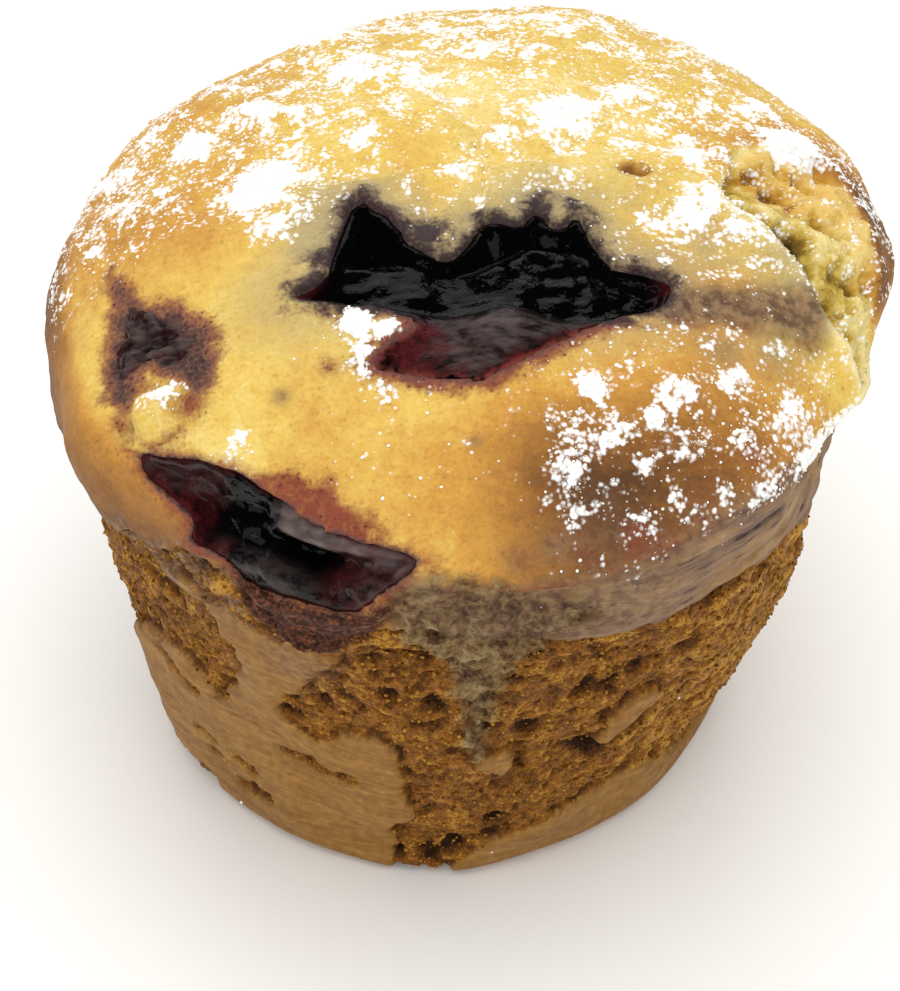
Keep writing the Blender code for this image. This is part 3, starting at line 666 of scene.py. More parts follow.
dust -= 0.10 * smooth_step(-6.0, -20.0, crust[:, 0]) * smooth_step(2.0, -10.0, crust[:, 1])
dust -= 0.09 * smooth_step(-18.0, -30.0, crust[:, 1]) * smooth_step(14.0, 4.0, crust[:, 0])
dust -= 0.06 * smooth_step(-33.0, -36.0, crust[:, 1])
dust -= 0.07 * smooth_step(-8.0, -16.0, crust[:, 0])
dust *= (1 - 0.5 * smooth_step(0.0, 1.0, tear_depth)) * (1 - 0.7 * run_share)
dust *= 1 - 0.8 * clamp01(plum)
dust = clamp01(dust * patchy)
cover = dust
for x, y, radius, amount in falls:
    away = np.hypot(crust[:, 0] - x, crust[:, 1] - y) / radius
    fall = amount * np.exp(-(away ** 4)) * (crust[:, 2] > 50) * (0.85 + 0.25 * patchy)
    cover = np.maximum(cover, fall)
ridge_start, ridge_end = np.array((23.9, -30.2, 51.4)), np.array((34.6, -17.6, 51.0))
ridge = ridge_end - ridge_start
share = clamp01((crust - ridge_start) @ ridge / (ridge @ ridge))
ridge_away = np.linalg.norm(crust - ridge_start - share[:, None] * ridge, axis=1)
cover = np.maximum(cover, 0.55 * bell(from_lip, 1.4) * (crust[:, 1] > -10))
knob_top = near(crust, knob_centre + (0.3, 0.6, 1.2), 1.6)
cover = np.maximum(cover, np.minimum(1.2 * knob_top, 0.95))
open_berry = np.maximum.reduce((centre_depth, front_depth, left_depth))
kept_dry = smooth_step(0.1, -0.8, open_berry) * smooth_step(50.0, 57.0, body_climb)
kept_dry *= 0.3 + 0.7 * smooth_step(0.2, 0.5, out[:, 2])
on_ridge = bell(ridge_away + 0.3 * wisps, 0.8 + 0.9 * share, 3)
cover = np.clip(np.maximum(cover * kept_dry, on_ridge), 0.004, 0.995)
cover_odds = np.log(cover / (1 - cover))
piled = smooth_step(0.55, 0.95, cover)
skin += out * (0.30 * piled * (1.0 + 0.5 * fine_wisps))[:, None]
skin += out * (0.90 * clamp01(smear) * grain(crust, 1.6, 27, 3))[:, None]

# THE BAKED BODY, ITS MESH
# One closed skin. It stands in the CAD body's place and takes over from it.

body_low, body_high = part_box("muffin_body")
middle = (skin.min(axis=0) + skin.max(axis=0)) / 2
shift = np.array(((body_low.x + body_high.x) / 2 / MM - middle[0],
                  (body_low.y + body_high.y) / 2 / MM - middle[1], 0.0))


def new_piece(name, points, faces):
    """Smooth mesh object from points in mm on the muffin's own axes."""
    mesh = bpy.data.meshes.new(name)
    mesh.from_pydata(((points + shift) * MM).tolist(), [], faces)
    mesh.shade_smooth()
    piece = bpy.data.objects.new(name, mesh)
    bpy.context.scene.collection.objects.link(piece)
    return piece


def give_share(piece, name, values):
    """A number at every point of the mesh, for its material to read."""
    layer = piece.data.attributes.new(name, "FLOAT", "POINT")
    layer.data.foreach_set("value", np.ascontiguousarray(values, dtype=np.float32))


body = new_piece("baked_body", skin, body_quads)
body_shares = {"browning_and_shade": browning_and_shade, "torn": torn, "tear": tear_depth, "ash": ash,
               "rose": rose, "plum": plum, "dull_stain_and_shade": dull_stain_and_shade, "sugar": cover_odds,
               "skirt": skirt, "crumb": crumb_height_for_shade, "stain": stain, "smear": smear,
               "slit": slit, "side": side}
for share_name, share_values in body_shares.items():
    give_share(body, share_name, share_values)


def lay_out_body(mesh):
    """UV map in three charts: the crown as a disc, the side unrolled, the base as a disc."""
    corner = np.empty(len(mesh.loops), int)
    mesh.loops.foreach_get("vertex_index", corner)
    face_climb = np.empty(len(mesh.polygons) * 3)
    mesh.polygons.foreach_get("center", face_climb)
    first = np.empty(len(mesh.polygons), int)
    count = np.empty(len(mesh.polygons), int)
    mesh.polygons.foreach_get("loop_start", first)
    mesh.polygons.foreach_get("loop_total", count)
    face = np.repeat(np.arange(len(first)), count)
    climb, turn = body_climb[corner], body_angle[corner] + math.pi / 4
    turn = np.where(turn < -1e-6, turn + math.tau, turn)
    top_face = (np.minimum.reduceat(climb, first) >= crown_from)[face]
    base_face = (count > 4)[face]
    wraps = (np.maximum.reduceat(turn, first) - np.minimum.reduceat(turn, first))[face] > 3
    turn = np.where(wraps & (turn < 1.0), turn + math.tau, turn)
    reach = (crown_to - climb) / (crown_to - crown_from) * 0.245
    side_uv = np.stack((0.01 + turn / math.tau * 0.97, 0.01 + climb / crown_from * 0.47), 1)
    angle = body_angle[corner]
    top_uv = np.stack((0.26 + reach * np.cos(angle), 0.745 + reach * np.sin(angle)), 1)
    base_uv = np.stack((0.76 + 0.2 * np.cos(angle), 0.745 + 0.2 * np.sin(angle)), 1)
    uv = np.where(top_face[:, None], top_uv, np.where(base_face[:, None], base_uv, side_uv))
    mesh.uv_layers.new(name="OFBake").uv.foreach_set("vector", uv.astype(np.float32).ravel())


lay_out_body(body.data)

# THE BAKED BODY, ITS FINISH
# Baked crust of egg batter: thin, dull and golden, darker where it browned. Below the
# crown it is torn crumb, rough and open, with patches of smooth tan skin.


def linear(hex_colour):
    """Linear colour of an sRGB hex value."""
    parts = [int(hex_colour[at:at + 2], 16) / 255 for at in (1, 3, 5)]
    return tuple(p / 12.92 if p <= 0.04045 else ((p + 0.055) / 1.055) ** 2.4
                 for p in parts) + (1.0,)


def add(tree, kind, links=(), stops=(), **settings):
    """Adds a shader node, with its settings, its ramp's stops and its inputs."""
    node = tree.nodes.new("ShaderNode" + kind)
    for name, value in settings.items():
        setattr(node, name, value)
    for name, value in dict(links).items():
        if isinstance(value, bpy.types.NodeSocket):
            tree.links.new(value, node.inputs[name])
        else:
            node.inputs[name].default_value = value
    for index, (position, colour) in enumerate(stops):
        elements = node.color_ramp.elements
        element = elements[index] if index < 2 else elements.new(position)
        element.position = position
        element.color = linear(colour)
    return node


def new_material(name):
    """A material's node tree, its shader and the surface's own coordinates in mm."""
    mat = bpy.data.materials.new(name)
    mat.use_nodes = True
    tree = mat.node_tree
    shader = tree.nodes["Principled BSDF"]
    place = add(tree, "TexCoord").outputs["Object"]
    spot = add(tree, "VectorMath", {0: place, "Scale": 1000.0}, operation="SCALE").outputs[0]
    return mat, tree, shader, spot


def baked_crust():
    mat, tree, shader, spot = new_material("baked_crust")

    def share(name):
        return add(tree, "Attribute", attribute_name=name).outputs["Fac"]

    def speckle(size, detail=2.0, place=spot, roughness=0.6):
        return add(tree, "TexNoise", {"Vector": place, "Scale": 1.0 / size, "Detail": detail,
                                      "Roughness": roughness}).outputs[0]

    def blend(amount, below_colour, above_colour):
        return add(tree, "Mix", {0: amount, 6: below_colour, 7: above_colour},
                   data_type="RGBA").outputs[2]

    def between(value, low, high):
        return add(tree, "MapRange", {0: value, 1: low, 2: high},
                   interpolation_type="SMOOTHSTEP").outputs[0]

    def plus(first, second, factor):
        return add(tree, "Math", {0: second, 1: factor, 2: first},
                   operation="MULTIPLY_ADD").outputs[0]

    def times(first, second):
        return add(tree, "Math", {0: first, 1: second}, operation="MULTIPLY").outputs[0]

    def ramp(value, stops):
        return add(tree, "ValToRGB", {0: value}, stops=stops).outputs[0]

    coarse, middling, fine = speckle(2.4, 3.0), speckle(0.9, 2.0), speckle(0.38, 1.0)
    browned = plus(plus(plus(-0.06, share("browning_and_shade"), 1.0), coarse, 0.20), middling, 0.16)
    browned = plus(browned, fine, 0.12)
    crown = ramp(browned, (
        (0.16, "#EEDD9C"), (0.34, "#DFBD5E"), (0.52, "#CB9542"), (0.70, "#A87434"),
        (0.88, "#83562A"), (1.0, "#5C3E24")))

    def streaked(size, detail):
        drawn = add(tree, "VectorMath", {0: spot, 1: (0.14, 0.14, 1.0)}, operation="MULTIPLY")
        return speckle(size, detail, drawn.outputs[0])

    streaks, fine_streaks = streaked(1.3, 3.0), streaked(0.45, 2.0)
    skin_mix = plus(plus(plus(0.0, streaks, 0.3), fine_streaks, 0.3), middling, 0.4)
    skin_tone = ramp(skin_mix, (
        (0.34, "#7A5226"), (0.50, "#926832"), (0.66, "#AC8142")))
    # Colour darkens with the crumb's depth and pales on its ridges: painted shade and painted light.
    crumb_tone_and_shade = plus(plus(plus(share("crumb"), middling, 1.1), fine, 1.3), coarse, 1.0)
    crumb_level = add(tree, "MapRange", {0: crumb_tone_and_shade, 1: 0.5, 2: 2.5}).outputs[0]
    crumb_tone = ramp(crumb_level, (
        (0.12, "#321A04"), (0.44, "#653B0C"), (0.65, "#8C5816"), (0.88, "#C08E36")))
    low = share("side")
    side = blend(between(plus(share("torn"), fine, 0.5), 0.15, 0.45), skin_tone, crumb_tone)
    colour = blend(low, crown, side)

    # Inside the tear the colour also darkens in the crumb's gaps and pits, as painted shade.
    inside_tone_and_shade = plus(plus(plus(0.0, share("crumb"), 0.17), coarse, 0.8), middling, 0.4)
    pale_inside = ramp(inside_tone_and_shade, (
        (0.04, "#35270C"), (0.28, "#8A6C20"), (0.44, "#C6A84A"), (0.60, "#E4D08A")))
    toasted_inside = ramp(inside_tone_and_shade, (
        (0.04, "#4A2C0A"), (0.28, "#9A6A1C"), (0.44, "#C8983C"), (0.60, "#DEBA68")))
    inside = blend(between(browned, 0.34, 0.60), pale_inside, toasted_inside)
    colour = blend(between(share("tear"), -0.1, 0.7), colour, inside)

    skirt_mix = plus(plus(0.0, streaks, 0.6), fine_streaks, 0.4)
    skirt_tone = ramp(skirt_mix, (
        (0.32, "#5E4A42"), (0.43, "#866B58"), (0.53, "#9E7E5C"), (0.66, "#B29669")))
    warm = blend(between(streaks, 0.34, 0.66), linear("#84604E"), linear("#9C7844"))
    skirt_tone = blend(between(speckle(5.0, 3.0), 0.46, 0.66), skirt_tone, warm)
    skirt_tone = blend(between(fine_streaks, 0.38, 0.30), skirt_tone, linear("#4C3A34"))
    colour = blend(share("skirt"), colour, skirt_tone)
    # The slit is painted dark as shade.
    colour = blend(share("slit"), colour, linear("#3C3436"))
    smear_mix = plus(plus(plus(0.0, coarse, 0.5), middling, 0.4), fine, 0.2)
    smear_tone = ramp(smear_mix, (
        (0.40, "#2E2010"), (0.48, "#5C4228"), (0.57, "#80653F"), (0.68, "#A08C62")))
    smear_share = between(plus(plus(share("smear"), middling, 0.9), coarse, 0.8), 1.0, 1.7)
    colour = blend(smear_share, colour, smear_tone)
    colour = blend(share("ash"), colour, blend(middling, linear("#8C7C58"), linear("#B8AA84")))
    dull_tone = blend(between(middling, 0.35, 0.65), linear("#5A4236"), linear("#8C7052"))
    colour = blend(share("dull_stain_and_shade"), colour, dull_tone)
    rose_share = between(plus(share("rose"), fine, 0.5), 0.2, 1.2)
    colour = blend(rose_share, colour, blend(coarse, linear("#6E2C20"), linear("#94503A")))
    stain_share = between(plus(plus(share("stain"), fine, 0.5), middling, 0.5), 0.65, 1.15)
    stain_tone = ramp(plus(plus(0.0, fine, 0.6), middling, 0.4), (
        (0.36, "#260D07"), (0.48, "#42200F"), (0.58, "#623622"), (0.70, "#865A3A")))
    colour = blend(stain_share, colour, stain_tone)
    plum_share = between(plus(plus(share("plum"), fine, 0.6), middling, 0.3), 0.5, 1.4)
    plum_tone = blend(plum_share, blend(rose_share, linear("#84705C"), linear("#8A5E56")),
                      linear("#433434"))
    colour = blend(plum_share, colour, plum_tone)

    # The patches stand in for powder, which is too fine to show grain by grain.
    dark_specks = between(fine, 0.66, 0.76)
    colour = blend(times(dark_specks, rose_share), colour, linear("#4A2018"))
    dot = add(tree, "TexVoronoi", {"Vector": spot, "Scale": 1.9}).outputs["Distance"]
    patches = plus(plus(0.0, speckle(2.0, 4.0, spot, 0.66), 16.0), dot, -5.0)
    white = between(plus(patches, share("sugar"), 1.0), 5.0, 7.8)
    colour = blend(white, colour, linear("#FCFBF8"))
    tree.links.new(colour, shader.inputs["Base Color"])

    rough = add(tree, "MapRange", {0: plum_share, 3: 0.62, 4: 0.4}).outputs[0]
    rough = plus(rough, white, 0.25)
    tree.links.new(rough, shader.inputs["Roughness"])
    shader.inputs["Specular IOR Level"].default_value = 0.15

    tooth = times(between(share("torn"), 0.0, 0.4), low)
    tooth = add(tree, "Math", {0: tooth, 1: smear_share}, operation="MAXIMUM").outputs[0]
    height = plus(plus(0.0, middling, 0.5), fine, 0.6)
    depth = add(tree, "MapRange", {0: tooth, 3: 0.42, 4: 1.1}).outputs[0]
    height = times(height, depth)
    height = plus(plus(height, times(share("skirt"), fine_streaks), 0.8), white, 0.1)
    bump = add(tree, "Bump", {"Height": height, "Distance": 0.0005, "Strength": 1.0})
    tree.links.new(bump.outputs[0], shader.inputs["Normal"])
    return mat


body.data.materials.append(baked_crust())
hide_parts("muffin_body")
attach(body, "root")

# THE BURST BERRIES
# Dark berries whose skins split in the oven. What shows is wet flesh and folded skin,
# nearly black and glossy, sunk below the crust; the middle one ran over it in front.


def crust_height(place, x, y):
    """Height of the crust over a place's frame, at spots in that frame."""
    centre, axes = place_axes(place)
    down = Vector(-axes[2])
    heights = []
    for at_x, at_y in zip(x, y):
        start = Vector(from_place(np.array((at_x, at_y, 11.0)), place))
        hit = crust_tree.ray_cast(start, down)[0]
        heights.append(to_place(np.array(hit), place)[2] if hit else 0.0)
    return np.array(heights)


def filled_corners(kept):
    """Cells kept, with every pair that only touches at a corner joined up."""
    while True:
        a, b, c, d = kept[:-1, :-1], kept[1:, :-1], kept[:-1, 1:], kept[1:, 1:]
        falling = a & d & ~b & ~c
        rising = b & c & ~a & ~d
        if not (falling | rising).any():
            return kept
        kept[1:, :-1] |= falling
        kept[:-1, :-1] |= rising


def flesh_sheet(name, place, outline, cell, margin, top_of, thickness):
    """Closed sheet over an outline and a margin, its top and bottom set by the crust."""
    low, high = outline.min(axis=0) - margin - cell, outline.max(axis=0) + margin + cell
    xs, ys = np.arange(low[0], high[0], cell), np.arange(low[1], high[1], cell)
    grid_x, grid_y = np.meshgrid(xs, ys, indexing="ij")
    flat = np.stack((grid_x.ravel(), grid_y.ravel()), axis=1)
    depth = depth_inside(flat, outline)[0]
    inside = (depth > -margin).reshape(grid_x.shape)
    kept = filled_corners(inside[:-1, :-1] & inside[1:, :-1] & inside[:-1, 1:] & inside[1:, 1:])
    surface = crust_height(place, *flat.T)
    top = top_of(flat, depth).reshape(grid_x.shape)
    for _ in range(2):
        middle = top[1:-1, 1:-1]
        beside = top[:-2, 1:-1] + top[2:, 1:-1] + top[1:-1, :-2] + top[1:-1, 2:]
        top[1:-1, 1:-1] = 0.4 * middle + 0.15 * beside
    top = surface + top.ravel()
    count = len(flat)
    points = np.concatenate((np.column_stack((flat, top)),
                             np.column_stack((flat, top - thickness))))
    number = np.arange(count).reshape(grid_x.shape)
    column, row = np.nonzero(kept)
    quad = np.stack((number[column, row], number[column + 1, row],
                     number[column + 1, row + 1], number[column, row + 1]), axis=1)
    faces = quad.tolist() + (quad[:, ::-1] + count).tolist()
    edges = np.concatenate([np.stack((quad[:, i], quad[:, (i + 1) % 4]), 1) for i in range(4)])
    seen = {tuple(edge) for edge in edges.tolist()}
    faces += [(b, a, a + count, b + count) for a, b in seen if (b, a) not in seen]
    used = np.unique(np.array([corner for face in faces for corner in face]))
    renumber = np.full(2 * count, -1)
    renumber[used] = np.arange(len(used))
    faces = [[int(renumber[corner]) for corner in face] for face in faces]
    piece = new_piece(name, from_place(points[used], place), faces)
    give_share(piece, "inside", np.concatenate((depth, depth))[used])
    give_share(piece, "spot_x", np.concatenate((flat[:, 0], flat[:, 0]))[used])
    give_share(piece, "spot_y", np.concatenate((flat[:, 1], flat[:, 1]))[used])
    return piece


def folds(flat, length, width, turn, seed, octaves=1):
    """Soft folds in the skin that run at a turn in degrees, with a length and width."""
    x, y = flat.T
    along, up = math.cos(math.radians(turn)), math.sin(math.radians(turn))
    bent = y + 0.25 * width * np.sin(x / length * 2.0 + seed)
    spots = np.stack(((x * along + bent * up) / length, (bent * along - x * up) / width,
                      np.zeros(len(x))), axis=1)
    return grain(spots, 1.0, seed, octaves)


def centre_top(flat, depth):
    x, y = flat.T
    film = smooth_step(-17.0, -20.2, y)
    descent_from = -13.4 + 2.6 * smooth_step(2.0, 7.0, x) + 1.0 * folds(flat, 5.0, 5.0, 0.0, 30)
    far = smooth_step(descent_from, descent_from + 4.0, y)
    far_wall = smooth_step(0.0, 1.2 + 2.6 * far, depth)
    floor = -0.95 - 2.4 * far + 0.20 * folds(flat, 7.0, 2.2, 4.0, 31)
    floor += 0.24 * (1 - far) * folds(flat, 3.4, 1.3, 8.0, 32, 2)
    floor += 0.16 * folds(flat, 2.2, 1.1, -14.0, 33) + 0.10 * folds(flat, 1.3, 0.7, 20.0, 49)
    floor += 0.20 * smooth_step(5.0, 9.0, x) * folds(flat, 1.5, 1.0, 35.0, 44, 2)
    floor += 0.50 * far * smooth_step(3.4, 1.0, depth) * folds(flat, 4.0, 1.0, 80.0, 45, 2)
    left_lobe = smooth_step(-5.0, -8.0, x) * smooth_step(-12.0, -15.5, y)
    floor += 0.24 * left_lobe * folds(flat, 4.0, 0.7, 70.0, 34)
    pool = floor * far_wall - 0.3 * bell(depth, 0.35)
    pool -= 0.9 * smooth_step(0.05, -0.6, depth)
    over = 0.12 * smooth_step(-0.6, 1.6, depth) + 0.10 * folds(flat, 2.8, 0.9, 30.0, 35, 2)
    over -= 0.45 * smooth_step(0.2, -1.0, depth)
    return pool * (1 - film) + over * film


def mound(flat, x, y, across, up):
    """1 inside an oval, falling smoothly to 0 at its edge."""
    away = ((flat[:, 0] - x) / across) ** 2 + ((flat[:, 1] - y) / up) ** 2
    return np.exp(-away * away)


def front_lump(x, y):
    """The lump of flesh that stands in the front berry, lying at a slant."""
    return mound(np.stack((x, y + 0.16 * x), axis=1), 1.2, -2.4, 5.4, 1.3)


def front_flap(x, y):
    """Where skin hangs over the front berry's upper edge, and how wide it is there."""
    flap = smooth_step(-0.6, 0.8, x) * smooth_step(0.2, 0.9, y + 0.03 * x)
    return flap, 0.5 + 1.5 * smooth_step(12.5, 1.0, x)


def front_top(flat, depth):
    x, y = flat.T
    floor = -1.6 - 2.2 * mound(flat, 2.8, 0.1, 2.6, 1.3) - 1.4 * mound(flat, -7.2, 0.0, 2.2, 1.5)
    floor -= 0.8 * mound(flat, 7.4, 0.2, 2.4, 1.4)
    floor += 1.3 * front_lump(x, y)
    middle = smooth_step(-6.0, -4.0, x) * smooth_step(2.4, 0.6, x)
    floor += middle * (0.55 * folds(flat, 2.4, 1.1, -48.0, 47, 2) + 0.5)
    floor += 0.28 * folds(flat, 2.6, 1.2, -24.0, 51, 2) + 0.14 * folds(flat, 1.2, 0.6, -62.0, 48)
    floor += 0.22 * smooth_step(3.0, 6.0, x) * folds(flat, 3.0, 0.8, 56.0, 42)
    floor += 0.22 * smooth_step(-4.0, -6.0, x) * folds(flat, 4.0, 0.8, -12.0, 46)
    floor *= 1 - 0.55 * smooth_step(5.5, 10.5, x)
    flap, flap_width = front_flap(x, y)
    on_flap = flap * smooth_step(flap_width + 0.7, flap_width, depth)
    level = floor * smooth_step(0.0, 1.3 + 0.9 * smooth_step(0.6, 2.0, y), depth)
    level = level * (1 - on_flap) - on_flap * (0.15 + 0.25 * depth)
    level -= 0.12 * bell(depth, 0.35)
    return level - 0.9 * smooth_step(0.05, -0.6, depth)


def left_top(flat, depth):
    ragged_edge = depth - 0.9 + 1.5 * folds(flat, 1.6, 1.2, 30.0, 39, 2)
    crinkles = 0.46 * folds(flat, 2.4, 0.6, 50.0, 40, 2) + 0.34 * folds(flat, 1.1, 0.5, -40.0, 41)
    return crinkles - 0.30 - 1.0 * smooth_step(0.4, -0.9, ragged_edge)


centre_berry = flesh_sheet("berry_centre_flesh", centre_place, centre_outline, cell=0.24,
                           margin=1.0, top_of=centre_top, thickness=1.6)
front_berry = flesh_sheet("berry_front_flesh", front_place, front_outline, cell=0.22,
                          margin=1.0, top_of=front_top, thickness=1.6)
left_berry = flesh_sheet("berry_left_flesh", left_place, left_outline, cell=0.20,
                         margin=1.4, top_of=left_top, thickness=1.2)


def shares_of(piece, red_of, grey_of):
    """Where the flesh is thin and red, and where it has a grey skin with a painted sheen, as shares. Over
    1, the red flesh is so thin that the crust shows through, and the grey skin is dry."""
    layers = piece.data.attributes
    values = []
    for name in ("spot_x", "spot_y", "inside"):
        value = np.empty(len(piece.data.vertices), np.float32)
        layers[name].data.foreach_get("value", value)
        values.append(value)
    give_share(piece, "red", red_of(*values))
    give_share(piece, "grey_skin_and_sheen", grey_of(*values))


def centre_red(x, y, depth):
    film = smooth_step(-18.2, -20.2, y)
    left_of_film = smooth_step(2.5, -2.0, x + 0.6 * (y + 22.0))
    edge = smooth_step(1.3, 0.1, depth)
    tips = smooth_step(-10.5, -13.5, x) + smooth_step(15.5, 18.0, x)
    red = clamp01(film * (0.15 + 0.85 * np.maximum(left_of_film, edge)) + tips
                  + 0.45 * smooth_step(0.4, 0.0, depth) * smooth_step(-9.0, -6.0, y))
    return red + film * smooth_step(0.9, -0.3, depth)


def centre_grey(x, y, depth):
    film = smooth_step(-17.2, -20.0, y)
    return 0.9 * film * smooth_step(0.2, 1.6, depth) * smooth_step(-5.0, 1.0, x - 0.5 * (y + 22))


def front_red(x, y, depth):
    left = 0.7 * smooth_step(-4.6, -6.6, x) * smooth_step(2.4, 0.8, y)
    upper = 0.4 * smooth_step(-3.5, -5.5, x) * smooth_step(0.8, 2.0, y)
    right = 0.5 * smooth_step(4.0, 6.4, x) * smooth_step(-3.4, -2.2, y + 0.1 * x)
    return clamp01(left + upper + right + 0.4 * smooth_step(0.6, 0.1, depth)
                   + 0.8 * np.exp(-((x + 3.6) ** 2 + (y + 1.8) ** 2) / 0.5))


def front_grey(x, y, depth):
    flap, flap_width = front_flap(x, y)
    flap = 1.5 * flap * smooth_step(flap_width + 0.5, flap_width, depth)
    upper = 0.35 * smooth_step(-3.5, -5.5, x) * smooth_step(0.8, 2.0, y)
    lump = 0.4 * front_lump(x, y)
    tip = 0.5 * smooth_step(5.5, 9.0, x)
    return np.maximum.reduce((flap, upper, lump, tip))


def left_red(x, y, depth):
    return 0.15 + 0.5 * smooth_step(2.0, 0.6, depth)


def left_grey(x, y, depth):
    strands = folds(np.stack((x, y), axis=1), 2.4, 0.6, 50.0, 40, 2)
    return 0.3 + 0.7 * smooth_step(-0.3, 0.5, strands) + 0.3 * smooth_step(1.8, 0.6, depth)


shares_of(centre_berry, centre_red, centre_grey)
shares_of(front_berry, front_red, front_grey)
shares_of(left_berry, left_red, left_grey)


def berry_flesh():
    """Juice and skin of a dark berry: nearly black, and deep red where it is thin."""
    mat, tree, shader, spot = new_material("berry_flesh")

    def share(name):
        return add(tree, "Attribute", attribute_name=name).outputs["Fac"]

    def speckle(size, detail):
        return add(tree, "TexNoise", {"Vector": spot, "Scale": 1.0 / size,
                                      "Detail": detail}).outputs[0]

    def blend(amount, below_colour, above_colour):
        return add(tree, "Mix", {0: amount, 6: below_colour, 7: above_colour},
                   data_type="RGBA").outputs[2]

    wave, fine = speckle(1.5, 3.0), speckle(0.4, 1.0)
    patchy = add(tree, "MapRange", {0: wave, 1: 0.32, 2: 0.6}).outputs[0]
    red = add(tree, "Math", {0: share("red"), 1: patchy}, operation="MULTIPLY").outputs[0]
    red_tone = blend(fine, linear("#2C0C0E"), linear("#5A1E20"))
    thin = add(tree, "MapRange", {0: share("red"), 1: 1.0, 2: 2.0}).outputs[0]
    red_tone = blend(thin, red_tone, blend(fine, linear("#5E2A26"), linear("#8A4A3E")))
    drawn = add(tree, "VectorMath", {0: spot, 1: (0.5, 1.2, 1.2)}, operation="MULTIPLY")
    streak = add(tree, "TexNoise", {"Vector": drawn.outputs[0], "Scale": 0.9,
                                    "Detail": 4.0}).outputs[0]
    streak = add(tree, "MapRange", {0: streak, 1: 0.38, 2: 0.62}).outputs[0]
    # The grey skin's tone also paints the grey sheen of the wet skin: a painted reflection.
    grey_tone = blend(streak, linear("#181211"), linear("#544744"))
    dry = add(tree, "MapRange", {0: share("grey_skin_and_sheen"), 1: 1.0, 2: 1.6}).outputs[0]
    grey_tone = blend(dry, grey_tone, blend(streak, linear("#544644"), linear("#73625C")))
    colour = blend(share("grey_skin_and_sheen"), linear("#040405"), grey_tone)
    colour = blend(red, colour, red_tone)
    tree.links.new(colour, shader.inputs["Base Color"])
    rough = add(tree, "MapRange", {0: share("grey_skin_and_sheen"), 3: 0.08, 4: 0.34}).outputs[0]
    tree.links.new(rough, shader.inputs["Roughness"])
    shader.inputs["IOR"].default_value = 1.40
    shader.inputs["Specular IOR Level"].default_value = 0.4
    bump = add(tree, "Bump", {"Height": fine, "Distance": 0.0001, "Strength": 0.6})
    tree.links.new(bump.outputs[0], shader.inputs["Normal"])
    return mat


flesh_material = berry_flesh()
for piece, node in ((centre_berry, "berry_centre"), (front_berry, "berry_front"),
                    (left_berry, "berry_left")):
    piece.data.materials.append(flesh_material)
    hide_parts(node)
    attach(piece, "root")

# THE POWDERED SUGAR
# Sieved over the baked crown, it lies as single grains and small clots that caught on
# the crust. Every grain is a real lump of its own, sitting on the skin.

rng = np.random.default_rng(7)
face_corners = np.array(body_quads[:-1])
grain_limit = 9000


def lump_shapes(count, jitter, seed):
    """Uneven 20-sided lumps of about unit radius, each with its own turn and shape."""
    golden = (1 + math.sqrt(5)) / 2
    corners = np.array([(-1, golden, 0), (1, golden, 0), (-1, -golden, 0), (1, -golden, 0),
                        (0, -1, golden), (0, 1, golden), (0, -1, -golden), (0, 1, -golden),
                        (golden, 0, -1), (golden, 0, 1), (-golden, 0, -1), (-golden, 0, 1)])
    faces = np.array([(0, 11, 5), (0, 5, 1), (0, 1, 7), (0, 7, 10), (0, 10, 11),
                      (1, 5, 9), (5, 11, 4), (11, 10, 2), (10, 7, 6), (7, 1, 8),
                      (3, 9, 4), (3, 4, 2), (3, 2, 6), (3, 6, 8), (3, 8, 9),
                      (4, 9, 5), (2, 4, 11), (6, 2, 10), (8, 6, 7), (9, 8, 1)])
    chance = np.random.default_rng(seed)
    scale = 1 + jitter * chance.uniform(-1, 1, (count, 12, 1))
    turns = np.linalg.qr(chance.normal(size=(count, 3, 3)))[0]
    turns[np.linalg.det(turns) < 0, 0] *= -1
    return (unit(corners) * scale) @ turns, faces


def scatter(weights, count, seed):
    """Spots on the body's skin, more of them where the weight is high."""
    chance = np.random.default_rng(seed)
    corner = skin[face_corners]
    size = np.linalg.norm(np.cross(corner[:, 2] - corner[:, 0], corner[:, 3] - corner[:, 1]),
                          axis=1)
    chosen = weights[face_corners].mean(axis=1) * size
    face = chance.choice(len(face_corners), size=count, p=chosen / chosen.sum())
    u, v = chance.uniform(size=(2, count, 1))
    a, b, c, d = (corner[face, index] for index in range(4))
    spot = (a * (1 - u) + b * u) * (1 - v) + (d * (1 - u) + c * u) * v
    outward = unit(out[face_corners[face]].mean(axis=1))
    return spot, outward, face


def lumps_piece(name, spots, radii, outward, flatten, sink, jitter, seed):
    """One mesh of separate lumps, each pressed flat against the skin and sunk in it."""
    shapes, faces = lump_shapes(len(spots), jitter, seed)
    along = (shapes * outward[:, None]).sum(axis=-1, keepdims=True)
    shapes = shapes - outward[:, None] * along * (1 - flatten)
    centres = spots + outward * (radii * (flatten - sink))[:, None]
    points = centres[:, None] + shapes * radii[:, None, None]
    offsets = 12 * np.arange(len(spots))[:, None, None]
    piece = new_piece(name, points.reshape(-1, 3), (faces + offsets).reshape(-1, 3).tolist())
    give_share(piece, "own_tone", np.repeat(np.random.default_rng(seed).uniform(
        size=len(spots)), 12))
    return piece


sugar_spots, sugar_out, _ = scatter(cover ** 1.5, grain_limit, 41)
sugar_sizes = 0.05 + 0.13 * rng.uniform(size=grain_limit) ** 3
sugar_grains = lumps_piece("sugar_grains", sugar_spots, sugar_sizes, sugar_out,
                           flatten=0.8, sink=0.35, jitter=0.22, seed=42)


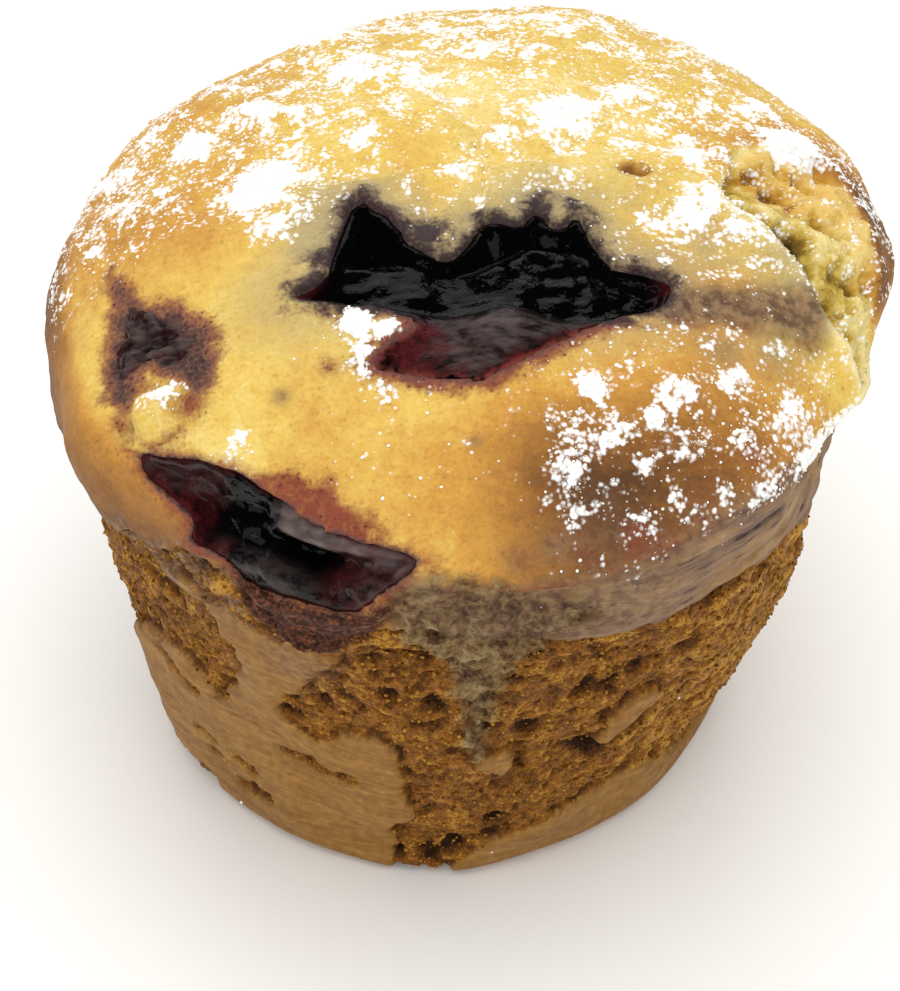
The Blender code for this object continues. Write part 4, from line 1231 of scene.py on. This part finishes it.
def powdered_sugar():
    """Milled white sugar: bright, dry and without any shine."""
    mat, tree, shader, spot = new_material("powdered_sugar")
    own = add(tree, "Attribute", attribute_name="own_tone").outputs["Fac"]
    tone = add(tree, "Mix", {0: own, 6: linear("#F4F1E8"), 7: linear("#FFFFFC")},
               data_type="RGBA").outputs[2]
    fine = add(tree, "TexNoise", {"Vector": spot, "Scale": 8.0}).outputs[0]
    bump = add(tree, "Bump", {"Height": fine, "Distance": 0.0001, "Strength": 0.5})
    tree.links.new(tone, shader.inputs["Base Color"])
    tree.links.new(bump.outputs[0], shader.inputs["Normal"])
    shader.inputs["Roughness"].default_value = 0.95
    shader.inputs["Specular IOR Level"].default_value = 0.1
    return mat


sugar_grains.data.materials.append(powdered_sugar())
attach(sugar_grains, "root")

# THE TORN CRUMB
# Where the skin came off, the crumb shows its open texture: small lumps of baked batter
# that stand up round the pits and fray the outline of the side.

crumb_limit = 7000
crumb_weight = smooth_step(0.1, 0.5, torn) * smooth_step(0.8, 3.0, body_climb)
crumb_weight = crumb_weight * (1 - 0.8 * small_pits) * (1 - front_depth_here)
crumb_weight = crumb_weight * (0.5 + 0.5 * smooth_step(180, 200, azimuth))
crumb_weight = crumb_weight * (1 - clamp01(smear)) * (1 - 0.8 * clamp01(stain))
crumb_spots, crumb_out, _ = scatter(crumb_weight, crumb_limit, 51)
crumb_sizes = 0.07 + 0.16 * rng.uniform(size=crumb_limit) ** 2
crumb_lumps = lumps_piece("crumb_lumps", crumb_spots, crumb_sizes, crumb_out,
                          flatten=0.8, sink=0.5, jitter=0.45, seed=52)


def torn_crumb():
    """Baked crumb without its skin: matt, and toasted unevenly from straw to brown."""
    mat, tree, shader, spot = new_material("torn_crumb")
    own = add(tree, "Attribute", attribute_name="own_tone").outputs["Fac"]
    patch = add(tree, "TexNoise", {"Vector": spot, "Scale": 0.35, "Detail": 2.0}).outputs[0]
    mixed = add(tree, "Math", {0: own, 1: 0.5, 2: patch}, operation="MULTIPLY_ADD").outputs[0]
    tone = add(tree, "ValToRGB", {0: mixed}, stops=(
        (0.40, "#54330A"), (0.68, "#825618"), (0.98, "#B88632"))).outputs[0]
    fine = add(tree, "TexNoise", {"Vector": spot, "Scale": 3.0}).outputs[0]
    bump = add(tree, "Bump", {"Height": fine, "Distance": 0.0002, "Strength": 0.8})
    tree.links.new(tone, shader.inputs["Base Color"])
    tree.links.new(bump.outputs[0], shader.inputs["Normal"])
    shader.inputs["Roughness"].default_value = 0.9
    shader.inputs["Specular IOR Level"].default_value = 0.15
    return mat


crumb_lumps.data.materials.append(torn_crumb())
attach(crumb_lumps, "root")

# THE TABLE, THE LIGHT AND THE CAMERA
# A plain pale table under soft light from above and behind, seen from well above.


def white_table():
    mat, tree, shader, spot = new_material("white_table")
    soft = add(tree, "TexNoise", {"Vector": spot, "Scale": 0.02, "Detail": 1.0}).outputs[0]
    tone = add(tree, "Mix", {0: soft, 6: linear("#FCFBF6"), 7: linear("#FEFDFB")},
               data_type="RGBA").outputs[2]
    tree.links.new(tone, shader.inputs["Base Color"])
    shader.inputs["Roughness"].default_value = 0.8
    return mat


table_size = 2.0
table_mesh = bpy.data.meshes.new("table")
table_mesh.from_pydata([(-table_size, -table_size, 0.0), (table_size, -table_size, 0.0),
                        (table_size, table_size, 0.0), (-table_size, table_size, 0.0)],
                       [], [(0, 1, 2, 3)])
table = bpy.data.objects.new("table", table_mesh)
table_mesh.materials.append(white_table())
bpy.context.scene.collection.objects.link(table)


def soft_light(name, place, size, power, target=(0.0, 0.0, 0.03)):
    lamp = bpy.data.lights.new(name, "AREA")
    lamp.size = size
    lamp.energy = power
    light = bpy.data.objects.new(name, lamp)
    light.location = place
    aim = Vector(target) - Vector(place)
    light.rotation_euler = aim.to_track_quat("-Z", "Y").to_euler()
    bpy.context.scene.collection.objects.link(light)
    return light


soft_light("window", (-0.15, 0.70, 0.62), 0.8, 1.4)
ceiling = soft_light("ceiling", (-0.02, -0.10, 0.95), 0.8, 3.8)
soft_light("fill", (-0.30, -0.78, 0.47), 0.8, 1.2)
world = bpy.data.worlds.new("room")
world.use_nodes = True
world.node_tree.nodes["Background"].inputs["Color"].default_value = linear("#FFFFFF")
world.node_tree.nodes["Background"].inputs["Strength"].default_value = 0.81
ceiling.visible_glossy = False
world.cycles_visibility.glossy = False
bpy.context.scene.world = world
bpy.context.scene.view_settings.view_transform = "Standard"

camera_distance, camera_elevation, aim_height = 0.26, math.radians(41.5), 0.03
aim_below, roll = math.radians(1.05), 0.04
lens_data = bpy.data.cameras.new("camera")
lens_data.lens = 99.8
lens_data.clip_start = 0.01
camera = bpy.data.objects.new("camera", lens_data)
stand = Vector((shift[0] * MM, shift[1] * MM, 0.0))
camera.location = stand + Vector((0.0, -camera_distance * math.cos(camera_elevation),
                                  aim_height + camera_distance * math.sin(camera_elevation)))
tip = math.pi / 2 - camera_elevation - aim_below
camera.matrix_world = (Matrix.Translation(camera.location)
                       @ Matrix.Rotation(tip, 4, "X") @ Matrix.Rotation(roll, 4, "Z"))
bpy.context.scene.collection.objects.link(camera)
bpy.context.scene.camera = camera
